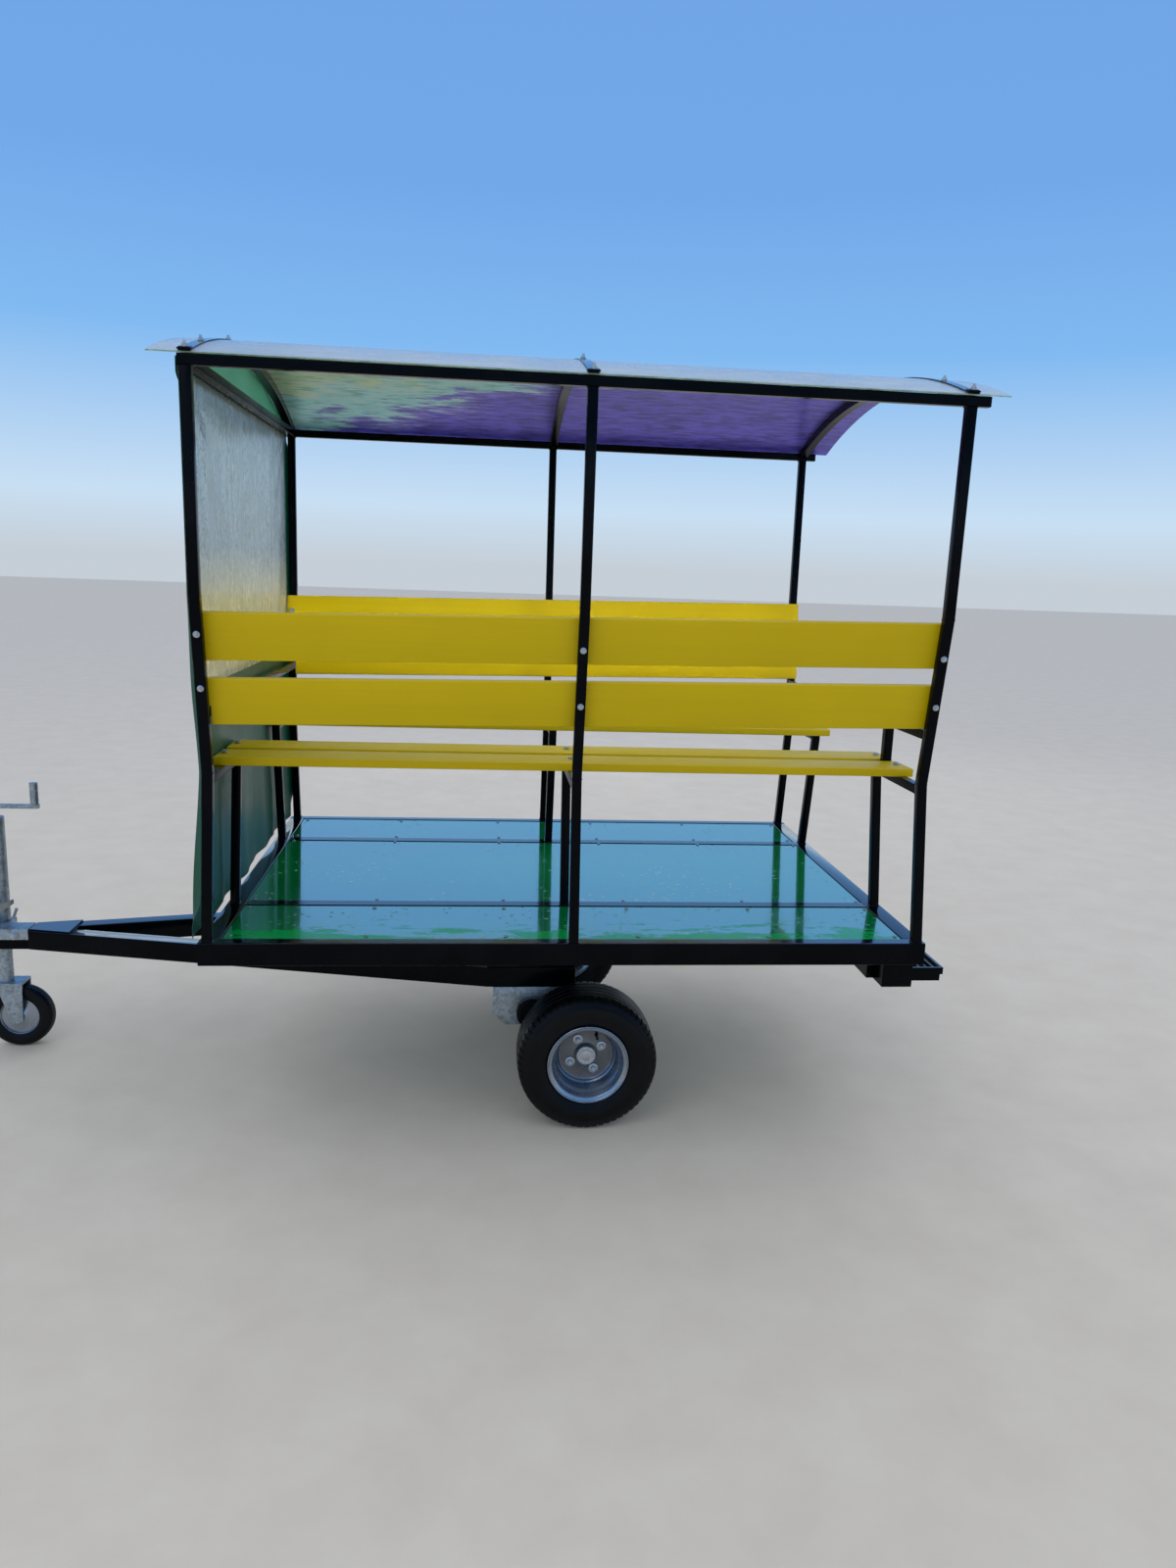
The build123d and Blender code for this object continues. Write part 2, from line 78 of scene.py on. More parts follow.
# %% Camera
photo_lens, sensor_width = 24.913, 36.0
photo_place = (-0.1609, 3.3369, 1.5571)
photo_direction = Vector((-0.1026, -0.9754, -0.1949))
photo_roll = 0.036

bpy.ops.object.select_all(action="DESELECT")
bpy.ops.object.camera_add(location=photo_place)
camera = bpy.context.object
camera.name = "photo_camera"
turn = photo_direction.to_track_quat("-Z", "Y").to_matrix() @ Matrix.Rotation(photo_roll, 3, "Z")
camera.rotation_euler = turn.to_euler()
camera.data.lens = photo_lens
camera.data.sensor_width = sensor_width
bpy.context.scene.camera = camera
print("camera looks", [round(v, 3) for v in turn @ Vector((0, 0, -1))])

# %% [markdown]
# ## Sky
# Gloss paint shows little of its own colour and much of what stands round it, so the surroundings are part
# of the finish. A picture of a real sky could light the scene. A colour ramp on the height of the direction
# is enough here, pale at the horizon and bluer above: it gives the tubes their cool edges and the wet deck
# its blue sheen. Matt surfaces gather an even grey instead of the blue, as under a studio's cloth, so their
# colours stay true.

# %% Sky
sky_stops = [(0.0, (0.56, 0.62, 0.68)), (0.05, (0.58, 0.74, 0.90)), (0.18, (0.22, 0.49, 0.88)),
             (0.30, (0.17, 0.39, 0.81)), (0.75, (0.15, 0.34, 0.75))]
studio_grey = (0.80, 0.81, 0.83, 1.0)


def sky_colour(scene_world):
    """A soft gradient from the horizon up, with even grey for matt surfaces."""
    scene_world.use_nodes = True
    tree = scene_world.node_tree
    where = tree.nodes.new("ShaderNodeTexCoord")
    parts = tree.nodes.new("ShaderNodeSeparateXYZ")
    ramp = tree.nodes.new("ShaderNodeValToRGB")
    tree.links.new(where.outputs["Generated"], parts.inputs["Vector"])
    tree.links.new(parts.outputs["Z"], ramp.inputs["Fac"])
    while len(ramp.color_ramp.elements) < len(sky_stops):
        ramp.color_ramp.elements.new(0.5)
    for element, (place, colour) in zip(ramp.color_ramp.elements, sky_stops):
        element.position = place
        element.color = (*colour, 1.0)
    rays = tree.nodes.new("ShaderNodeLightPath")
    mix = tree.nodes.new("ShaderNodeMix")
    mix.data_type = "RGBA"
    tree.links.new(rays.outputs["Is Diffuse Ray"], mix.inputs[0])
    tree.links.new(ramp.outputs["Color"], mix.inputs[6])
    mix.inputs[7].default_value = studio_grey
    tree.links.new(mix.outputs[2], tree.nodes["Background"].inputs["Color"])
    tree.nodes["Background"].inputs["Strength"].default_value = 1.0


bpy.context.scene.world = bpy.data.worlds.new("soft_sky")
sky_colour(bpy.context.scene.world)
bpy.context.scene.view_settings.view_transform = "Standard"
print("sky with", len(sky_stops), "stops")

# %% [markdown]
# ## Lamps
# One large lamp from behind the camera softens the light, as an open sky does, and a second from the far
# side keeps the roof's edge bright. A long narrow lamp with little spread shines in under the roof, over the
# near backrest, and lights the inner face of the far bench as the afternoon sun does. A wide lamp close
# under the roof stands for the daylight that the thin sheet lets through. It has no counterpart on the real
# trailer. The last three are kept out of reflections, where they would show as lamps.

# %% Lamps
trailer_middle, far_plank = (0.0, 0.0, 1.0), (-0.42, -0.64, 1.31)
roof_underside, deck_middle = (-0.42, 0.0, 1.93), (-0.42, 0.0, 0.0)


def soft_lamp(name, place, target, size, power, colour):
    bpy.ops.object.select_all(action="DESELECT")
    bpy.ops.object.light_add(type="AREA", location=place)
    lamp = bpy.context.object
    lamp.name = name
    lamp.rotation_euler = (Vector(target) - Vector(place)).to_track_quat("-Z", "Y").to_euler()
    lamp.data.shape = "DISK"
    lamp.data.size = size
    lamp.data.energy = power
    lamp.data.color = colour
    return lamp


def make_oblong(lamp, width):
    lamp.data.shape = "RECTANGLE"
    lamp.data.size_y = width


soft_lamp("lamp_front", (2.5, 5.0, 5.5), trailer_middle, size=4.5, power=40, colour=(1.0, 0.93, 0.80))
high_lamp = soft_lamp("lamp_far", (-3.0, -5.0, 5.0), trailer_middle, size=6.0, power=40,
                      colour=(1.0, 0.95, 0.86))
low_sun = soft_lamp("low_sun", (-0.6, 4.2, 2.80), far_plank, size=2.4, power=1.15, colour=(1.0, 0.95, 0.84))
make_oblong(low_sun, width=0.18)
low_sun.data.spread = math.radians(5)
under_roof = soft_lamp("under_roof", roof_underside, deck_middle, size=1.75, power=6.0,
                       colour=(1.0, 0.98, 0.92))
make_oblong(under_roof, width=1.1)
for lamp in (high_lamp, low_sun, under_roof):
    lamp.visible_glossy = False
    lamp.visible_camera = False

# %% [markdown]
# ## Small helpers for finishes
# A finish is one shader with a few nodes in front of it. Each helper below adds one kind of node, so the
# cells that follow read like recipes. Colours are given as they look on a screen, from 0 to 255, and turned
# into the linear values that a renderer works in.

# %% Finish helpers
def seen(red, green, blue):
    """A screen colour as linear values with full opacity."""
    def linear(value):
        value /= 255
        return value / 12.92 if value <= 0.04045 else ((value + 0.055) / 1.055) ** 2.4
    return (linear(red), linear(green), linear(blue), 1.0)


def finish(name, **plain):
    """A new material; each plain value is set on the shader's own socket."""
    material = bpy.data.materials.new(name)
    material.use_nodes = True
    shader = material.node_tree.nodes["Principled BSDF"]
    for socket, value in plain.items():
        shader.inputs[socket.replace("_", " ")].default_value = value
    return material, material.node_tree, shader


def add(tree, kind, sockets, out=0, **settings):
    """Adds a node, sets or links its sockets and gives one of its outputs."""
    made = tree.nodes.new("ShaderNode" + kind)
    for key, value in settings.items():
        setattr(made, key, value)
    for key, value in sockets.items():
        if isinstance(value, bpy.types.NodeSocket):
            tree.links.new(value, made.inputs[key])
        else:
            made.inputs[key].default_value = value
    return made.outputs[out]


def place_on(tree, stretch=(1, 1, 1)):
    """Object coordinates, stretched where a pattern has a direction."""
    where = tree.nodes.new("ShaderNodeTexCoord").outputs["Object"]
    return add(tree, "Mapping", {"Vector": where, "Scale": stretch})


def noise(tree, where, scale, detail=3.0, rough=0.5):
    return add(tree, "TexNoise", {"Vector": where, "Scale": scale, "Detail": detail, "Roughness": rough})


def ramp(tree, value, stops):
    """A colour ramp; each stop is a place and a colour or a grey level."""
    made = tree.nodes.new("ShaderNodeValToRGB")
    elements = made.color_ramp.elements
    while len(elements) < len(stops):
        elements.new(0.5)
    for element, (place, colour) in zip(elements, stops):
        element.position = place
        element.color = colour if isinstance(colour, tuple) else (colour, colour, colour, 1.0)
    tree.links.new(value, made.inputs["Fac"])
    return made.outputs["Color"]


# %% [markdown]
# ## The floor
# A plain pale floor. A trace of mottle keeps it from looking like paper, and it stays matt so that it casts
# no reflections of its own. It is a stage and no piece of the trailer.

# %% Floor
bpy.ops.object.select_all(action="DESELECT")
bpy.ops.mesh.primitive_plane_add(size=120)
yard = bpy.context.object
yard.name = "yard"
pale_floor, tree, shader = finish("pale_floor", Roughness=0.85)
mottle = noise(tree, place_on(tree), 5.0, 6.0, 0.6)
pale = ramp(tree, mottle, [(0.3, seen(206, 202, 197)), (0.7, seen(213, 210, 205))])
tree.links.new(pale, shader.inputs["Base Color"])
yard.data.materials.append(pale_floor)
print("floor", [round(length) for length in yard.dimensions])

# %% [markdown]
# ## Bumps and rounded edges
# Two more helpers shape the light on a surface without any extra faces. A bump tilts the normals as if the
# surface rose by a given depth. The bevel node bends the normals round an edge, as paint and rolling round
# it. Both could be modelled, at the cost of millions of faces.

# %% Bump helpers
def height(tree, value, depth, strength=1.0, normal=None):
    """A bump whose full height is depth metres."""
    sockets = {"Height": value, "Distance": depth, "Strength": strength}
    if normal is not None:
        sockets["Normal"] = normal
    return add(tree, "Bump", sockets)


def soft_edge(tree, radius):
    """Normals that round every edge by a radius, as paint and rolling do."""
    return add(tree, "Bevel", {"Radius": radius}, samples=6)


print("bump helpers ready")

# %% [markdown]
# ## Black gloss paint
# The frame is square tube, brushed with black gloss. Such paint is never quite flat: it has a fine orange
# peel, a little dust that dulls it, and rounded corners that catch a thin bright line. The peel and the dust
# are noises in object space. The corner line comes from the bevel node, which rounds normals without any
# extra faces. Rain lies on every face that looks up, so those faces mirror the sky while the sides stay
# nearly black. The upward part of the normal says which is which, and turns on a clear coat of water.

# %% Black paint
def black_paint(name, edge):
    material, tree, shader = finish(name, Specular_IOR_Level=0.07, Coat_IOR=2.1)
    where = place_on(tree)
    dust = noise(tree, where, 7.0, 5.0, 0.62)
    black = ramp(tree, dust, [(0.4, seen(2, 4, 8)), (0.8, seen(9, 12, 16))])
    tree.links.new(black, shader.inputs["Base Color"])
    tree.links.new(ramp(tree, dust, [(0.35, 0.13), (0.8, 0.3)]), shader.inputs["Roughness"])
    peel = noise(tree, where, 420.0, 2.0, 0.5)
    rounded = soft_edge(tree, edge)
    tree.links.new(height(tree, peel, 0.0002, 0.25, rounded), shader.inputs["Normal"])
    upward = tree.nodes.new("ShaderNodeSeparateXYZ")
    tree.links.new(rounded, upward.inputs["Vector"])
    tree.links.new(ramp(tree, upward.outputs["Z"], [(0.6, 0.0), (0.95, 1.0)]), shader.inputs["Coat Weight"])
    tree.links.new(ramp(tree, dust, [(0.4, 0.04), (0.8, 0.16)]), shader.inputs["Coat Roughness"])
    water = noise(tree, where, 16.0, 2.0, 0.5)
    tree.links.new(height(tree, water, 0.0006, 0.2, rounded), shader.inputs["Coat Normal"])
    return material


gloss_black = black_paint("gloss_black", 0.002)
print("black paint made")

# %% [markdown]
# ## Yellow painted boards
# The benches are planed softwood under two coats of yellow. The grain still shows as faint lines along the
# board, and a few knots bleed through as darker spots. The edges are painted paler, as a painted highlight
# where the rounded edge catches the light. A noise stretched along the board makes the grain. The knots are
# the closest points of a sparse cell pattern. The painted highlight compares the rounded normal with the
# flat one.

# %% Yellow paint
def mixed(tree, share, first, second, blend="MIX"):
    made = tree.nodes.new("ShaderNodeMix")
    made.data_type = "RGBA"
    made.blend_type = blend
    for index, value in ((0, share), (6, first), (7, second)):
        if isinstance(value, bpy.types.NodeSocket):
            tree.links.new(value, made.inputs[index])
        else:
            made.inputs[index].default_value = value
    return made.outputs[2]


def board_paint(name, body, shade, highlight_colour):
    material, tree, shader = finish(name, Specular_IOR_Level=0.16)
    grain = noise(tree, place_on(tree, (2.2, 75.0, 75.0)), 1.0, 4.0, 0.6)
    patches = noise(tree, place_on(tree), 3.5, 4.0, 0.55)
    base = mixed(tree, patches, body, shade)
    base = mixed(tree, ramp(tree, grain, [(0.45, 0.0), (0.62, 0.22)]), base, shade)
    along_grain = place_on(tree, (1.0, 3.0, 3.0))
    cells = add(tree, "TexVoronoi", {"Vector": along_grain, "Scale": 2.6, "Randomness": 1.0})
    knots = ramp(tree, cells, [(0.012, 1.0), (0.03, 0.0)])
    base = mixed(tree, knots, base, seen(96, 84, 28))
    rounded = soft_edge(tree, 0.003)
    flat_normal = tree.nodes.new("ShaderNodeNewGeometry").outputs["True Normal"]
    along = add(tree, "VectorMath", {0: rounded, 1: flat_normal}, out="Value", operation="DOT_PRODUCT")
    # painted highlight: edges are made paler where the rounded normal turns away from the flat one
    painted_edge_light = ramp(tree, along, [(0.80, 0.75), (0.985, 0.0)])
    tree.links.new(mixed(tree, painted_edge_light, base, highlight_colour), shader.inputs["Base Color"])
    tree.links.new(ramp(tree, patches, [(0.3, 0.34), (0.75, 0.5)]), shader.inputs["Roughness"])
    tree.links.new(height(tree, grain, 0.0006, 0.35, rounded), shader.inputs["Normal"])
    return material


yellow_board = board_paint("yellow_board", body=seen(206, 184, 14), shade=seen(190, 166, 8),
                           highlight_colour=seen(236, 224, 116))
print("yellow paint made")

# %% [markdown]
# ## The wet green deck
# The deck boards are film-faced plywood in green, just after rain. A thin even film of water makes them
# mirror the sky at a low angle, and small drops and shallow puddles break the mirror. The water is the
# shader's clear coat, with almost no roughness. The drops are a cell pattern that lifts the surface in
# small domes, kept to patches by a broad noise. Along the left edge the film breaks up into islands, with
# the plain green board between them: a noise is raised towards that edge, and a ramp cuts the coat off
# where it gets high.

# %% Deck finish
wet_green, tree, shader = finish("wet_green", IOR=2.3, Coat_IOR=3.6)
where = place_on(tree)
cloudy = noise(tree, where, 2.4, 5.0, 0.6)
scuffs = noise(tree, place_on(tree, (30.0, 5.0, 5.0)), 1.0, 4.0, 0.7)
green = mixed(tree, cloudy, seen(0, 146, 64), seen(4, 170, 86))
green = mixed(tree, ramp(tree, scuffs, [(0.55, 0.0), (0.75, 0.25)]), green, seen(60, 166, 104))
tree.links.new(green, shader.inputs["Base Color"])
tree.links.new(ramp(tree, cloudy, [(0.35, 0.07), (0.7, 0.2)]), shader.inputs["Roughness"])
tree.links.new(ramp(tree, cloudy, [(0.4, 0.02), (0.75, 0.07)]), shader.inputs["Coat Roughness"])
drops = add(tree, "TexVoronoi", {"Vector": where, "Scale": 38.0, "Randomness": 1.0})
domes = ramp(tree, drops, [(0.0, 1.0), (0.22, 0.0)])
patch = ramp(tree, noise(tree, where, 4.5, 2.0, 0.5), [(0.48, 0.0), (0.54, 1.0)])
wavy = noise(tree, where, 9.0, 2.0, 0.5)
parts = tree.nodes.new("ShaderNodeSeparateXYZ")
tree.links.new(where, parts.inputs["Vector"])
blotch = noise(tree, place_on(tree, (1.0, 3.0, 1.0)), 7.0, 5.0, 0.65)
edge_starts, edge_ends = 0.46, 0.66
near_edge = {"Value": parts.outputs["Y"], "From Min": edge_starts, "From Max": edge_ends, "To Max": 0.29}
raised = add(tree, "Math", {0: blotch, 1: add(tree, "MapRange", near_edge)}, operation="ADD")
broken = ramp(tree, raised, [(0.70, 1.0), (0.76, 0.12)])
tree.links.new(broken, shader.inputs["Coat Weight"])
tree.links.new(mixed(tree, broken, (0.08, 0.08, 0.08, 1), (1, 1, 1, 1)), shader.inputs["Specular IOR Level"])
rain = height(tree, mixed(tree, patch, (0, 0, 0, 1), domes), 0.0022, 0.9)
rain = height(tree, wavy, 0.0012, 0.25, rain)
tree.links.new(rain, shader.inputs["Coat Normal"])
tree.links.new(height(tree, cloudy, 0.0006, 0.2), shader.inputs["Normal"])
print("deck finish made")

# %% [markdown]
# ## Zinc and small metal
# The axle brackets, the coupling and the jockey wheel's tube are hot-dip galvanised: zinc cools in crystals,
# so the grey comes in patches a few millimetres wide, each a little lighter or darker. A cell pattern gives
# every crystal one value. The fasteners are brighter plated steel, the same recipe with finer crystals.

# %% Zinc
def zinc(name, dark, light, crystal, rough):
    material, tree, shader = finish(name, Metallic=0.85)
    where = place_on(tree)
    cells = add(tree, "TexVoronoi", {"Vector": where, "Scale": crystal, "Randomness": 1.0}, out="Color")
    level = add(tree, "SeparateColor", {"Color": cells})
    stain = noise(tree, where, 12.0, 5.0, 0.65)
    crystals = ramp(tree, level, [(0.0, dark), (1.0, light)])
    stains = ramp(tree, stain, [(0.3, dark), (0.7, light)])
    tree.links.new(mixed(tree, 0.45, crystals, stains), shader.inputs["Base Color"])
    tree.links.new(ramp(tree, stain, [(0.3, rough - 0.08), (0.7, rough + 0.14)]), shader.inputs["Roughness"])
    tree.links.new(height(tree, stain, 0.0006, 0.3, soft_edge(tree, 0.0015)), shader.inputs["Normal"])
    return material


galvanised = zinc("galvanised", seen(120, 132, 140), seen(186, 198, 205), crystal=120.0, rough=0.42)
plated = zinc("plated", seen(150, 156, 160), seen(214, 220, 224), crystal=500.0, rough=0.28)
print("zinc finishes made")

# %% [markdown]
# ## Wheel silver
# Wheel silver is a paint with fine metal flakes under a clear coat, darkened in places by grime. The flat
# disc inside the rim is painted darker, as painted shade for its place deep in the dish, while the lip and
# the well stay bright. The painted disc could get a material of its own. A ramp on the distance from the
# axle does it with one, and fades softly.

# %% Wheel silver
wheel_x, wheel_y, wheel_z = -0.484, 0.464, 0.197
wheel_silver, tree, shader = finish("wheel_silver", Metallic=0.9, Coat_Weight=0.6, Coat_Roughness=0.08)
where = place_on(tree)
flakes = noise(tree, where, 1400.0, 1.0, 0.5)
grime = noise(tree, where, 22.0, 5.0, 0.6)
silver = mixed(tree, ramp(tree, grime, [(0.45, 0.0), (0.75, 0.45)]), seen(146, 156, 168), seen(92, 98, 106))
silver = mixed(tree, ramp(tree, flakes, [(0.3, 0.0), (0.7, 0.18)]), silver, seen(226, 232, 238))
from_axle = add(tree, "VectorMath", {0: where, 1: (wheel_x, 0.0, wheel_z)}, operation="SUBTRACT")
in_plane = add(tree, "VectorMath", {0: from_axle, 1: (1.0, 0.0, 1.0)}, operation="MULTIPLY")
radius = add(tree, "VectorMath", {0: in_plane}, out="Value", operation="LENGTH")
# painted shade: the disc deep inside the rim is darkened in its colour
shaded_disc = ramp(tree, radius, [(0.029, 1.0), (0.036, 0.62), (0.076, 0.66), (0.083, 0.0)])
silver = mixed(tree, shaded_disc, silver, seen(40, 44, 50))
tree.links.new(silver, shader.inputs["Base Color"])
tree.links.new(ramp(tree, grime, [(0.3, 0.2), (0.8, 0.38)]), shader.inputs["Roughness"])
tree.links.new(height(tree, flakes, 0.0001, 0.2), shader.inputs["Normal"])
print("wheel silver made")

# %% [markdown]
# ## Rubber and plastic
# Tyre rubber is nearly black and quite matt, with a grey bloom of road dust in patches. The handle of the
# coupling and the tyre valves are moulded plastic: even in colour, with a fine grain from the mould. One
# recipe serves them all, with its own colours, roughness and grain for each.

# %% Rubber and plastic
def moulded(name, dark, light, rough, grain):
    material, tree, shader = finish(name, Specular_IOR_Level=0.18)
    where = place_on(tree)
    dusty = noise(tree, where, 18.0, 5.0, 0.65)
    tree.links.new(ramp(tree, dusty, [(0.4, dark), (0.8, light)]), shader.inputs["Base Color"])
    tree.links.new(ramp(tree, dusty, [(0.3, rough), (0.8, rough + 0.2)]), shader.inputs["Roughness"])
    fine = noise(tree, where, grain, 2.0, 0.5)
    tree.links.new(height(tree, fine, 0.0003, 0.3, soft_edge(tree, 0.001)), shader.inputs["Normal"])
    return material


tyre_rubber = moulded("tyre_rubber", seen(3, 5, 8), seen(10, 13, 17), rough=0.32, grain=350.0)
grey_plastic = moulded("grey_plastic", seen(110, 116, 120), seen(140, 144, 146), rough=0.4, grain=700.0)
black_plastic = moulded("black_plastic", seen(14, 15, 17), seen(30, 31, 33), rough=0.35, grain=700.0)
print("rubber and plastic made")

# %% [markdown]
# ## Finishes for the solids
# Every solid part keeps its own shape and takes the finish of what it is made from. The table names the
# parts that share a finish by the start of their names.

# %% Dress the solids
solid_finishes = {
    gloss_black: ("side_rail", "end_rail", "floor_strip", "floor_bearers", "post", "bench_frames",
                  "roof_rail", "bow", "front_bars", "drawbar", "frame_risers", "rear_step", "step_beam",
                  "step_brackets", "sheet_straps", "axle_beam", "swing_arm"),
    yellow_board: ("seat_slats", "back_planks"),
    wet_green: ("floor_boards",),
    galvanised: ("axle_brackets", "coupling_body", "jockey_tube", "jockey_stem", "jockey_clamp",
                 "jockey_fork", "hub"),
    wheel_silver: ("rim",),
    tyre_rubber: ("tyre", "jockey_wheel"),
    grey_plastic: ("coupling_handle",),
}
for material, starts in solid_finishes.items():
    for name, node in frame["nodes"].items():
        if name.startswith(starts):
            node.data.materials.clear()
            node.data.materials.append(material)
print("nodes dressed", len(frame["nodes"]))

# %% [markdown]
# ## First modelling helpers
# A new piece starts from a primitive or a copy, and each step of its making is an operator that a person
# would use by hand. Operators act on whatever is selected, so each helper first clears the selection and
# takes up one piece. A modifier could stay live, but it is applied at once, so that the mesh is final.

# %% Editing helpers
def select_only(piece):
    """Makes the piece the one that operators act on."""
    bpy.ops.object.select_all(action="DESELECT")
    piece.select_set(True)
    bpy.context.view_layer.objects.active = piece


def edit(piece, mode="VERT"):
    bpy.context.view_layer.objects.active = piece
    bpy.ops.object.mode_set(mode="EDIT")
    bpy.ops.mesh.select_mode(type=mode)


def leave():
    bpy.ops.object.mode_set(mode="OBJECT")


def with_modifier(piece, kind, **settings):
    """Adds a modifier and applies it at once."""
    select_only(piece)
    made = piece.modifiers.new(kind.lower(), kind)
    for key, value in settings.items():
        setattr(made, key, value)
    bpy.ops.object.modifier_apply(modifier=made.name)


def smooth(piece, angle=35):
    select_only(piece)
    bpy.ops.object.shade_smooth_by_angle(angle=math.radians(angle))


print("editing helpers ready")

# %% [markdown]
# ## Rounded tubes and boards
# A solid's edges are sharp. On the real trailer the square tube has rounded corners of about two
# millimetres and the boards a small chamfer, and both show as a thin line of light. A copy of the solid is
# taken, its doubled corners are merged and its flat faces cleaned, and a bevel rounds the long edges.
# Rounding in the mesh is worth it here, because these parts are seen close up from every side.

# %% Rounded copies
edge_radii = {"post": 0.0022, "bench_frames": 0.0022, "front_bars": 0.0022, "end_rail": 0.003,
              "drawbar_beam": 0.004, "seat_slats": 0.0025, "back_planks": 0.002, "axle_beam": 0.004,
              "axle_brackets": 0.0012}


def rounded_copy(name, radius):
    node = frame["nodes"][name]
    twin = node.copy()
    twin.data = node.data.copy()
    twin.parent = None
    twin.matrix_world = Matrix.Identity(4)
    for key in list(twin.keys()):
        del twin[key]
    twin.name = "rounded_" + name
    twin.data.name = twin.name
    bpy.context.collection.objects.link(twin)
    select_only(twin)
    edit(twin)
    bpy.ops.mesh.select_all(action="SELECT")
    bpy.ops.mesh.remove_doubles(threshold=0.00005)
    bpy.ops.mesh.select_all(action="SELECT")
    bpy.ops.mesh.dissolve_limited(angle_limit=math.radians(1))
    leave()
    with_modifier(twin, "BEVEL", width=radius, segments=3, limit_method="ANGLE", angle_limit=math.radians(40))
    smooth(twin)
    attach(twin, node["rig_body"])
    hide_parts(name)


to_round = [(name, radius) for part, radius in edge_radii.items()
            for name in sorted(frame["nodes"]) if name.startswith(part)]
for name, radius in to_round:
    rounded_copy(name, radius)
print("rounded", len(to_round), "parts")

# %% [markdown]
# ## Spun shapes
# Tyres, rims, caps and valves are all turned shapes. A cylinder with many loop cuts would do for each. Here
# one corner point is pushed round an outline and the outline is then spun about its axle, so that the list
# of points reads like a turner's drawing. Picking faces by a question about their place stands in for
# picking them by hand.

# %% Spinning helpers
def start(name, operator, **settings):
    """Adds a primitive with nothing else selected."""
    bpy.ops.object.select_all(action="DESELECT")
    operator(**settings)
    piece = bpy.context.object
    piece.name = name
    piece.data.name = name
    return piece


def spun(name, outline, centre, steps, closed=True):
    """An outline of (y, radius) points turned about an axle along Y through centre."""
    cx, cy, cz = centre
    piece = start(name, bpy.ops.mesh.primitive_plane_add, size=0.001)
    edit(piece)
    bpy.ops.mesh.select_all(action="SELECT")
    bpy.ops.mesh.merge(type="CENTER")
    first = Vector((cx, cy + outline[0][0], cz + outline[0][1]))
    bpy.ops.transform.translate(value=first)
    path = outline[1:] + (outline[:1] if closed else [])
    for (y0, r0), (y1, r1) in zip(outline, path):
        bpy.ops.mesh.extrude_region_move(TRANSFORM_OT_translate={"value": (0, y1 - y0, r1 - r0)})
    bpy.ops.mesh.select_all(action="SELECT")
    bpy.ops.mesh.remove_doubles(threshold=0.00001)
    bpy.ops.mesh.select_all(action="SELECT")
    bpy.ops.mesh.spin(steps=steps, angle=math.tau, center=(cx, cy, cz), axis=(0, 1, 0))
    bpy.ops.mesh.select_all(action="SELECT")
    bpy.ops.mesh.remove_doubles(threshold=0.00002)
    bpy.ops.mesh.select_all(action="SELECT")
    bpy.ops.mesh.normals_make_consistent(inside=False)
    leave()
    return piece


def pick_faces(piece, wanted):
    """Selects the faces that answer a question, and opens the piece for editing."""
    bpy.ops.object.mode_set(mode="OBJECT")
    mesh = piece.data
    for group in (mesh.vertices, mesh.edges, mesh.polygons):
        group.foreach_set("select", [False] * len(group))
    chosen = 0
    for face in mesh.polygons:
        face.select = wanted(face)
        chosen += face.select
    bpy.context.tool_settings.mesh_select_mode = (False, False, True)
    bpy.ops.object.mode_set(mode="EDIT")
    return chosen


def dress(piece, body, material):
    piece.data.materials.clear()
    piece.data.materials.append(material)
    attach(piece, body)
    print(piece.name, len(piece.data.polygons), "faces")


print("spinning helpers ready")

# %% [markdown]
# ## Tyres
# The trailer runs on small, wide low-profile tyres. A tyre is a ring with a crowned tread, grooves that run
# round it, shoulders with short cross grooves, and a sidewall that bulges above the rim. A bought texture
# could stand in for all that. Here half an outline is drawn as points from the middle of the tread to the
# bead, mirrored, and spun. The cross grooves are every other face of the shoulders, inset and pushed in.

# %% Tyre
half_tyre = [
    (0.0095, 0.1970), (0.0110, 0.1922), (0.0140, 0.1922), (0.0155, 0.1970), (0.0320, 0.1968),
    (0.0335, 0.1918), (0.0370, 0.1918), (0.0385, 0.1965), (0.0480, 0.1961), (0.0580, 0.1952),
    (0.0645, 0.1930), (0.0695, 0.1888), (0.0730, 0.1825), (0.0760, 0.1765), (0.0768, 0.1750),
    (0.0764, 0.1735), (0.0786, 0.1710), (0.0803, 0.1630), (0.0810, 0.1535), (0.0806, 0.1442),
    (0.0794, 0.1368), (0.0780, 0.1336), (0.0784, 0.1321), (0.0776, 0.1305), (0.0758, 0.1260),
    (0.0728, 0.1202), (0.0705, 0.1170), (0.0690, 0.1152), (0.0684, 0.1100), (0.0684, 0.1032),
]
tyre_outline = half_tyre + [(-y, r) for y, r in reversed(half_tyre)]
tyre_steps = 120
shoulder_inner, shoulder_outer = 0.050, 0.072
groove_lip, groove_depth = 0.0018, 0.0028


def turn_step(face, steps):
    """Which of the equal steps round the wheel a face lies in."""
    angle = math.degrees(math.atan2(face.center.z - wheel_z, face.center.x - wheel_x))
    return round(angle / (360 / steps) - 0.5)


for side, sign in (("left", 1), ("right", -1)):
    tyre = spun("tyre_tread_" + side, tyre_outline, (wheel_x, sign * wheel_y, wheel_z), tyre_steps)

    def on_shoulder(face):
        across = abs(face.center.y - sign * wheel_y)
        return shoulder_inner < across < shoulder_outer and turn_step(face, tyre_steps) % 2 == 0

    chosen = pick_faces(tyre, on_shoulder)
    bpy.ops.mesh.inset(thickness=groove_lip, use_boundary=True)
    bpy.ops.mesh.extrude_region_shrink_fatten(TRANSFORM_OT_shrink_fatten={"value": -groove_depth})
    leave()
    smooth(tyre, 30)
    dress(tyre, "wheel_" + side, tyre_rubber)
    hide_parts("tyre_" + side)
    print("shoulder faces", chosen)

